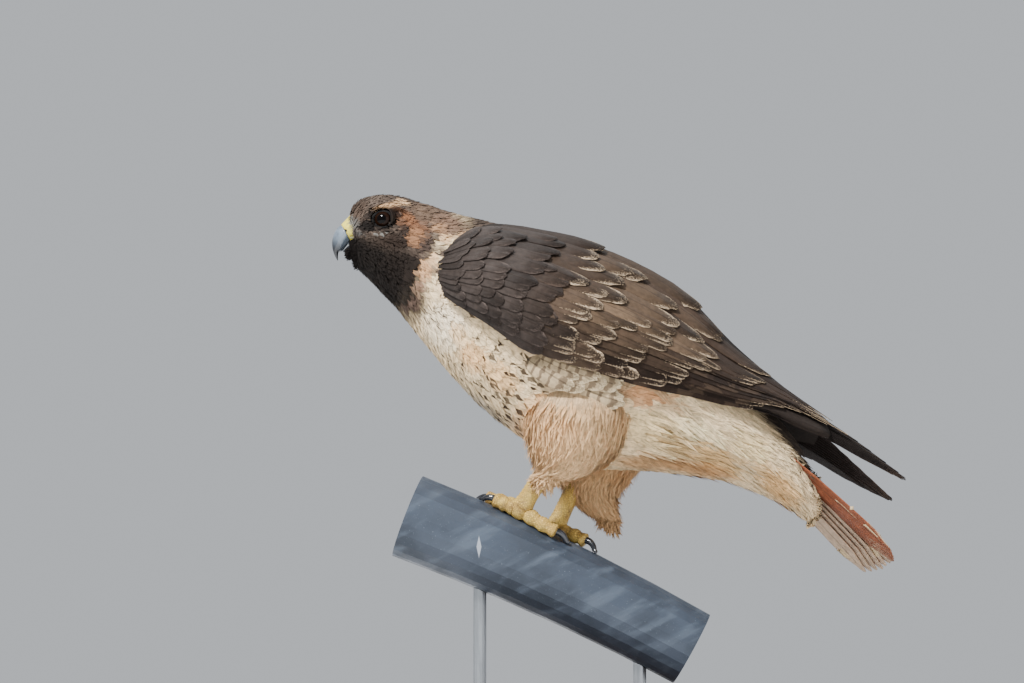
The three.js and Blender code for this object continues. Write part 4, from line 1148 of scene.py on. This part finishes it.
def wing_tint(s, t, brown, rng):
    """Dark, brown or slate, by the feather's place and row."""
    colours = bpy.context.scene.hawk_colours
    n = len(s)
    dark, pale = np.array(colours.wing_dark[:]), np.array(colours.wing_brown[:])
    patch = np.exp(-((s - 0.36) / 0.17) ** 2 - ((t - 0.4) / 0.34) ** 2)
    amount = np.clip(brown * (0.35 + 0.9 * rng.random(n)) * (0.35 + patch), 0, 0.95)
    tint = dark + (pale - dark) * amount[:, None]
    tint = tint + (linear("342e2b") - tint) * smooth(0.24 - s, 0, 0.16)[:, None] * 0.75
    return tint * (0.7 + 0.65 * rng.random((n, 1)))


def wing_row(side, label, index, rng):
    """One row of coverts, scapulars or secondaries."""
    vanes, root0, root1, tip0, tip1, share, lift, brown = WING_ROWS[index]
    place = np.linspace(0, 1, vanes)[:, None]
    stations = 8 if index < 4 else 7
    k = np.linspace(0, 1, stations)
    wander = 0.55 / vanes * (rng.random((vanes, 2)) - 0.5 + 0.4 * (index % 2)) * [0.3, 1]
    reach = 1 + (0.12 if index > 3 else 0.03) * (rng.random(vanes) - 0.5)
    root = root0 + np.subtract(root1, root0) * place + wander
    tip = tip0 + np.subtract(tip1, tip0) * place + wander
    run = root[:, None] + (tip - root)[:, None] * k[:, None] * reach[:, None, None]
    s, t = run[..., 0], np.clip(run[..., 1], 0, 1)
    span = np.linalg.norm(wing_at(side, s, t + 0.02) - wing_at(side, s, t - 0.02), axis=-1) / 0.04
    spacing = ((root1[1] - root0[1]) * (1 - k) + (tip1[1] - tip0[1]) * k) / (vanes - 1)
    half = share * spacing * span * np.interp(k, [0, 0.2, 0.6, 0.85, 1], [0.5, 0.8, 1, 1, 0.8])
    out = wing_out(side, np.clip(s, 0.02, 0.98), np.clip(t, 0.02, 0.98))
    rise = np.interp(k, [0, 0.25, 1], [-2.4, 0, 1]) * np.where(k < 0.25, 1.0, lift)
    line = wing_at(side, s, t) + out * (rise + 0.25 * rng.random((vanes, 1)))[..., None]
    # The front rows start ahead of the wing's edge
    line = line - np.clip(-s, 0, 1)[..., None] * [195, 0, 0]
    tint = wing_tint(s[:, stations // 2], t[:, stations // 2], brown, rng)
    trim = np.where(rng.random(vanes) < 0.75, 0.05 + 0.1 * rng.random(vanes), 0.03)
    if index < 2:
        trim = 0.04 + 0.04 * rng.random(vanes)
    edge = np.array(bpy.context.scene.hawk_colours.wing_edge[:]) * (0.7 + 0.5 * rng.random((vanes, 1)))
    if index > 10:
        edge = tint * 2.3
    feathers(f"wing_row_{index}_{label}", "plumage_wing", "Wing", line, out, half, tint, edge, columns=11,
             bow=0.012, tilt=0.5 * side, fray=0.2, point=0.75, thick=0.3,
             marks={"trim": trim, "bars": 0.35 if index == 0 else 0.0}, seed=50 + index)


def wing_shell(side, label, material):
    """The wing's dark inside, which closes it behind its feathers."""
    s, t = np.meshgrid(np.linspace(0, 0.8, 33), np.linspace(0, 1, 17), indexing="ij")
    out = wing_out(side, np.clip(s, 0.02, 1), np.clip(t, 0.02, 0.98))
    outer = wing_at(side, s, t) - out * 1.6
    inner = outer - out * np.interp(s, [0, 0.1, 0.72, 0.8], [5, 14, 8, 4])[..., None]
    rings = np.concatenate([outer, inner[:, ::-1]], 1)
    settle(loft(f"wing_shell_{label}", rings, material), "plumage_wing", f"wing_{label}")


def wing_blades(side, label, rng):
    """The long flight feathers, folded over each other to the wing's tip."""
    blades = 10
    place = np.linspace(0, 1, blades)[:, None]
    k = np.linspace(0, 1, 12)
    tip = 0.86 + 0.06 * place + 0.115 * np.sin(np.pi * place ** 1.15)
    s = 0.6 + (np.minimum(tip, 1) - 0.6) * k
    t = (0.2 + 0.6 * place) * (1 - k) + (0.3 + 0.4 * place) * k
    half = (7.5 - 1.5 * place) * np.interp(k, [0, 0.5, 0.8, 0.93, 1], [0.8, 1, 0.82, 0.55, 0.16])
    out = wing_out(side, np.clip(s, 0.02, 0.98), t)
    line = wing_at(side, s, t) - out * (1.2 + 0.66 * np.arange(blades)[:, None, None])
    tint = linear("191412") * (0.85 + 0.3 * rng.random((blades, 1)))
    feathers(f"wing_blades_{label}", "plumage_wing", "Flight", line, out, half, tint, linear("3a2f28"),
             under=tint * 2.2, bow=0.004, point=1.2, thick=0.45, marks={"trim": 0.12}, seed=43)


def hawk_wings():
    """The folded wings: a dark shell, the long blades and the rows of coverts."""
    material, w, shader = plain_material("Wing shell", 0.85, 0.0, 0.15)
    grain = w.noise(w.position(), 500.0)
    w.cover(shader, grain, rgba("14100e"), "2c241f")
    w.bump(shader, grain, 0.0003)
    for side, label in SIDES:
        rng = np.random.default_rng(41)
        wing_shell(side, label, material)
        wing_blades(side, label, rng)
        for index in range(len(WING_ROWS)):
            wing_row(side, label, index, rng)


def hawk_tail():
    """Twelve tail feathers with pale undersides."""
    colours = bpy.context.scene.hawk_colours
    along = np.array([math.cos(TAIL_DROOP), 0, -math.sin(TAIL_DROOP)])
    level = np.array([0.0, 1.0, 0.0])
    across = level * math.cos(-TAIL_ROLL) + np.cross(along, level) * math.sin(-TAIL_ROLL)
    out = np.cross(along, across)
    rng = np.random.default_rng(61)
    place = np.arange(TAIL_FEATHERS) - (TAIL_FEATHERS - 1) / 2
    away = np.abs(place)
    k = np.linspace(0.12, 1, 12)
    length = TAIL_LENGTH - 0.28 * away ** 2 - 1.5 * rng.random(TAIL_FEATHERS)
    layer = 1.4 * (away - np.where(place > 0, 0.5, 0))
    spread = 2.6 * (1 - k) + TAIL_SPACING * k
    line = (TAIL_ROOT + along * (length[:, None] * k)[..., None]
            + across * (place[:, None] * spread)[..., None]
            - out * (layer[:, None] + 5 * k ** 2)[..., None])
    width = 10.5 * np.interp(k, [0, 0.55, 0.9, 0.97, 1], [0.6, 0.95, 0.95, 0.75, 0.4])
    tint, under = (np.array(colour[:]) * (0.85 + 0.3 * rng.random((TAIL_FEATHERS, 1)))
                   for colour in (colours.tail_upper, colours.tail_under))
    # From below, the near feathers show their pale side and the others their red
    under = under + (tint * 0.9 - under) * smooth(-place, 0.4, 2.0)[:, None]
    feathers("tail_feathers", "plumage_tail", "Tail", line, np.broadcast_to(out, line.shape),
             np.tile(width, (TAIL_FEATHERS, 1)), tint, linear("b59a80"), under=under, columns=9, bow=0.003,
             point=0.8, fray=0.1, thick=0.5, marks={"trim": 0.04}, seed=63, nodes=("tail",))


def hawk_bill():
    """Bill, cere, nostrils and the fleshy corner of the mouth."""
    dark = hard_material("Lower bill horn", "1d1f23", "131417", 120.0, 800.0, 0.42)[0]
    for name, rows, steps, material, slot, node in (
            ("bill_upper_horn", UPPER_BILL, 26, bill_material(), "bill_horn", "bill_upper"),
            ("bill_lower_horn", LOWER_BILL, 16, dark, "bill_horn", "bill_lower"),
            ("cere_skin", CERE, 8, cere_material(), "cere_skin", "cere")):
        rings = oval(row_at(rows, np.linspace(0, len(rows) - 1, steps))[:, None], around(28))
        settle(loft(name, rings, material), slot, node)
    flange = hard_material("Mouth corner", "9a9a5e", "6d6a48", 260.0, 1500.0, 0.5)[0]
    stations = 22
    points = row_at(MOUTH_CORNER, np.linspace(0, len(MOUTH_CORNER) - 1, stations))
    sizes = np.interp(np.linspace(0, 1, stations), [0, 0.3, 0.8, 1], [0.7, 1.1, 1.0, 0.3])
    turn = around(10)
    for side, label in SIDES:
        tube = [np.stack([x + 0 * turn, side * (y + size * 1.4 * np.cos(turn)),
                          z + size * np.sin(turn)], -1) for (x, y, z), size in zip(points, sizes)]
        settle(loft(f"mouth_corner_{label}", tube, flange), "cere_skin")


def eye_material():
    """Glossy, with a black pupil in a dark brown iris."""
    material, w, shader = plain_material("Eye", 0.1, 0.0, 0.1)
    centre = metres(EYE_CENTRE).tolist()
    x, _, z = w.parts(w.position())
    dx, dz = x - (centre[0] - IRIS_AHEAD), z - centre[2]
    reach = w.math("SQRT", dx * dx + dz * dz)
    iris = w.mix(w.band(reach, *IRIS), rgba("1a0e08"), rgba("050303"))
    w.join(w.mix(w.band(reach, *PUPIL), rgba("040303"), iris), shader.inputs["Base Color"])
    return material


def hawk_eyes():
    """Glossy dark eyes, set in dark lids."""
    material = eye_material()
    lid_skin, w, shader, _ = hard_material("Lid skin", "0f0e0e", "1c1b1a", 300.0, 1500.0, 0.85,
                                           relief=0.0002)
    w.give(shader, {"Specular IOR Level": 0.1})
    b = around(10)[:, None]
    for side, label in SIDES:
        centre = EYE_CENTRE * [1, side, 1]
        settle(ball(f"eye_ball_{label}", centre, EYE_RADIUS, 48, 32, material), "eye_gloss", f"eye_{label}")
        facing = unit(np.array([-0.2, side, 0.02]))
        ahead = unit(np.cross(facing, [0, 0, 1.0]))
        up = np.cross(ahead, facing)
        rings = []
        for a in around(48):
            spoke = ahead * math.cos(a) * 1.06 + up * math.sin(a) * (0.8 if math.sin(a) > 0 else 0.9)
            middle = centre + spoke * LID_DISTANCE + facing * LID_FORWARD
            rings.append(middle + spoke * np.cos(b) * LID_WIDTH + facing * np.sin(b) * LID_DEPTH)
        piece = loft(f"lid_{label}", rings + rings[:1], lid_skin, closed=False)
        bm = bmesh.new()
        bm.from_mesh(piece.data)
        bmesh.ops.remove_doubles(bm, verts=bm.verts, dist=1e-6)
        bmesh.ops.recalc_face_normals(bm, faces=bm.faces)
        bm.to_mesh(piece.data)
        bm.free()
        settle(piece, "plumage_head")


def toe_point(side, name, k, lift=0.0):
    """The toe's middle at k of its length, and its radius there."""
    middle, (along, turn, swing, _) = FOOT_MIDDLE[side], TOES[side][name]
    radius = TOE_RADIUS + (TOE_TIP_RADIUS - TOE_RADIUS) * k
    at = middle[0] + (along - middle[0]) * k
    turned = middle[1] + (turn - middle[1]) * k + swing * k * (1 - k)
    return perch_at(at, turned, 0.3 + radius * 0.96 + lift), radius


def tube_rings(points, sizes, up, sides=16, plates=0, raised=0.5):
    """Rings round a path, with plates raised along its upper side."""
    points = np.array(points)
    ahead = unit(np.gradient(points, axis=0))
    turn = around(sides)
    rings = []
    for i, (point, size) in enumerate(zip(points, sizes)):
        top = unit(up[i] - ahead[i] * np.dot(up[i], ahead[i]))
        phase = i / (len(points) - 1) * plates % 1
        plate = raised * (1 - (2 * phase - 1) ** 4)
        radius = size + plate * np.clip(np.cos(turn), 0, 1) ** 0.5
        rings.append(point + np.outer(radius * np.cos(turn), top)
                     + np.outer(radius * np.sin(turn), np.cross(ahead[i], top)))
    return rings


def leg(side, skin):
    """A plated leg, from the thigh into the middle of the foot."""
    top, low = (np.array(point, float) for point in TARSI[side])
    low = low + (perch_at(*FOOT_MIDDLE[side], FOOT_HEIGHT) - low) * 0.5
    k = np.linspace(0, 1, 60)
    path = top + (low - top) * k[:, None]
    sizes = 6 + 0.8 * k + 0.9 * np.exp(-((k - 0.97) / 0.12) ** 2)
    up = np.tile([-1.0, 0, 0.2], (len(k), 1))
    settle(loft(f"leg_{side}", tube_rings(path, sizes, up, 18, 13, 0.7), skin), "leg_skin", f"tarsus_{side}")


def toe(side, name, skin, horn):
    """A toe with swollen joints and its curved claw. The claw settles here, the toe joins its foot."""
    k = np.linspace(0, 1, 49)
    path, radii = zip(*(toe_point(side, name, a) for a in k))
    ups = [toe_point(side, name, a, 1.0)[0] - point for a, point in zip(k, path)]
    sizes = [radius + 0.55 * math.cos(a * 6 * math.pi) for a, radius in zip(k, radii)]
    root, ahead = path[-1], unit(path[-1] - path[-5])
    rings = tube_rings([*path, root + ahead * 1.2, root + ahead * 2.0], [*sizes, 3.6, 1.8],
                       np.array(ups + [ups[-1]] * 2), 16, 12, 0.6)
    piece = loft(f"toe_{name}", rings, skin)
    up = unit(ups[-1] - ahead * np.dot(ups[-1], ahead))
    bend, base = math.radians(150), math.radians(-18)
    arc = TOES[side][name][3] / bend
    a = np.linspace(0, 1, 24)
    turn = bend * a + base
    claw = (root + np.outer(0.3 + arc * (np.sin(turn) - math.sin(base)), ahead)
            + np.outer(arc * (np.cos(turn) - math.cos(base)) + 0.6, up))
    sizes = CLAW_RADIUS + (CLAW_TIP_RADIUS - CLAW_RADIUS) * a ** 1.3
    claw = [clear_of_perch(point, size + 0.2) for point, size in zip(claw, sizes)]
    rings = tube_rings(claw, sizes, np.tile(up, (len(a), 1)), 14, raised=0.0)
    settle(loft(f"claw_horn_{side}_{name}", rings, horn), "claw_horn", f"claw_{side}_{name}")
    return piece


def hawk_feet():
    """Legs, toes and claws that grip the pipe."""
    skin = leg_material()
    horn = hard_material("Claw horn", "15161a", "24262b", 150.0, 900.0, 0.18, coat=0.5)[0]
    for side in TOES:
        leg(side, skin)
        parts = [toe(side, name, skin, horn) for name in TOES[side]]
        middle = perch_at(*FOOT_MIDDLE[side], FOOT_HEIGHT)
        parts.append(ball(f"ball_{side}", middle, 8.5, 28, 18, skin))
        settle(joined(f"foot_skin_{side}", parts), "leg_skin", f"foot_{side}")


def hawk_perch():
    """Finishes of the pipe and the display stand, whose solids stay."""
    wood = hard_material("Base wood", "4a2f1e", "2f1c12", 18.0, 260.0, 0.42, relief=0.00012,
                         stretch=(0.6, 5, 5))[0]
    steel = hard_material("Rod steel", "a4a8ac", "8f9397", 40.0, 700.0, 0.32, 0.9, 0.00003,
                          stretch=(6, 6, 0.5))[0]
    for name, material in (("perch_arm", pipe_material()), ("stand_base", wood), ("stand_rod_front", steel),
                           ("stand_rod_rear", steel)):
        NODES[name].data.materials.clear()
        NODES[name].data.materials.append(material)


# Area lights: place from the model's middle in metres, size and power
LIGHTS = {
    "key": ((-1.1, -1.6, 1.9), 0.35, 185),
    "fill": ((1.5, -1.7, 0.5), 1.6, 10),
    "top": ((0.1, 0.7, 2.1), 1.0, 30),
}


def hawk_stage():
    """Floor, soft lights and the camera at the photo's angle."""
    bm = bmesh.new()
    bmesh.ops.create_grid(bm, x_segments=2, y_segments=2, size=6)
    material, w, shader = plain_material("Pale floor", 0.8, 0.0, 0.3)
    w.give(shader, {"Base Color": (*bpy.context.scene.hawk_colours.floor[:], 1)})
    bm_piece("floor", bm, material)
    world = bpy.data.worlds.new("Pale room")
    world.use_nodes = True
    Wires(world.node_tree).give(world.node_tree.nodes["Background"], {0: (0.86, 0.9, 0.95, 1), 1: 0.62})
    bpy.context.scene.world = world
    target = Vector(metres([0, 0, 280]))
    for name, (place, size, power) in LIGHTS.items():
        data = bpy.data.lights.new(name, "AREA")
        data.size = size
        data.energy = power
        lamp = placed(name, data)
        lamp.location = target + Vector(place)
        lamp.rotation_euler = (target - lamp.location).to_track_quat("-Z", "Y").to_euler()
    data = bpy.data.cameras.new("view")
    data.sensor_width = 36
    data.lens = data.sensor_width * DISTANCE / VIEW_WIDTH
    camera = placed("view", data)
    ahead = Vector((0, math.cos(TILT), math.sin(TILT)))
    camera.location = Vector(metres(AIM)) - ahead * DISTANCE / 1000
    camera.rotation_euler = ahead.to_track_quat("-Z", "Y").to_euler()
    bpy.context.scene.camera = camera


def hawk_plumage():
    """The skin and all the feathers that lie on it."""
    tree = tree_of(hawk_skin())
    hawk_coat(tree)
    hawk_tufts(tree)


# Operators

class PieceOperator:
    """Runs the functions that make its pieces."""
    bl_options = {"REGISTER", "UNDO"}

    def execute(self, context):
        for make in self.makers:
            make()
        return {"FINISHED"}


class HAWK_OT_stage(PieceOperator, bpy.types.Operator):
    """Sets up the floor, lights and camera"""
    bl_idname = "hawk.stage"
    bl_label = "Stage"
    makers = (hawk_stage,)


class HAWK_OT_plumage(PieceOperator, bpy.types.Operator):
    """Makes the skin and the small feathers over it"""
    bl_idname = "hawk.plumage"
    bl_label = "Skin and small feathers"
    makers = (hawk_plumage,)


class HAWK_OT_wings(PieceOperator, bpy.types.Operator):
    """Makes both folded wings"""
    bl_idname = "hawk.wings"
    bl_label = "Wings"
    makers = (hawk_wings,)


class HAWK_OT_tail(PieceOperator, bpy.types.Operator):
    """Makes the tail feathers"""
    bl_idname = "hawk.tail"
    bl_label = "Tail"
    makers = (hawk_tail,)


class HAWK_OT_face(PieceOperator, bpy.types.Operator):
    """Makes the bill, cere, mouth corners, eyes and lids"""
    bl_idname = "hawk.face"
    bl_label = "Bill and eyes"
    makers = (hawk_bill, hawk_eyes)


class HAWK_OT_feet(PieceOperator, bpy.types.Operator):
    """Makes the legs, toes and claws"""
    bl_idname = "hawk.feet"
    bl_label = "Legs and feet"
    makers = (hawk_feet,)


class HAWK_OT_perch(PieceOperator, bpy.types.Operator):
    """Finishes the perch and its stand"""
    bl_idname = "hawk.perch"
    bl_label = "Perch and stand"
    makers = (hawk_perch,)


class HAWK_PT_panel(bpy.types.Panel):
    """Lists the settings and the makers"""
    bl_label = "Perched hawk"
    bl_space_type = "VIEW_3D"
    bl_region_type = "UI"
    bl_category = "Hawk"

    def draw(self, context):
        for group in (context.scene.hawk_sizes, context.scene.hawk_colours):
            for name in group.__annotations__:
                self.layout.prop(group, name)
        for operator in OPERATORS:
            self.layout.operator(operator.bl_idname)


OPERATORS = (HAWK_OT_stage, HAWK_OT_plumage, HAWK_OT_wings, HAWK_OT_tail, HAWK_OT_face, HAWK_OT_feet,
             HAWK_OT_perch)
CLASSES = (HawkSizes, HawkColours, *OPERATORS, HAWK_PT_panel)


def register():
    for item in CLASSES:
        bpy.utils.register_class(item)
    bpy.types.Scene.hawk_sizes = bpy.props.PointerProperty(type=HawkSizes)
    bpy.types.Scene.hawk_colours = bpy.props.PointerProperty(type=HawkColours)


def unregister():
    del bpy.types.Scene.hawk_colours
    del bpy.types.Scene.hawk_sizes
    for item in reversed(CLASSES):
        bpy.utils.unregister_class(item)


def main():
    register()
    bpy.ops.hawk.stage()
    bpy.ops.hawk.plumage()
    bpy.ops.hawk.wings()
    bpy.ops.hawk.tail()
    bpy.ops.hawk.face()
    bpy.ops.hawk.feet()
    bpy.ops.hawk.perch()


if __name__ == "__main__":
    main()
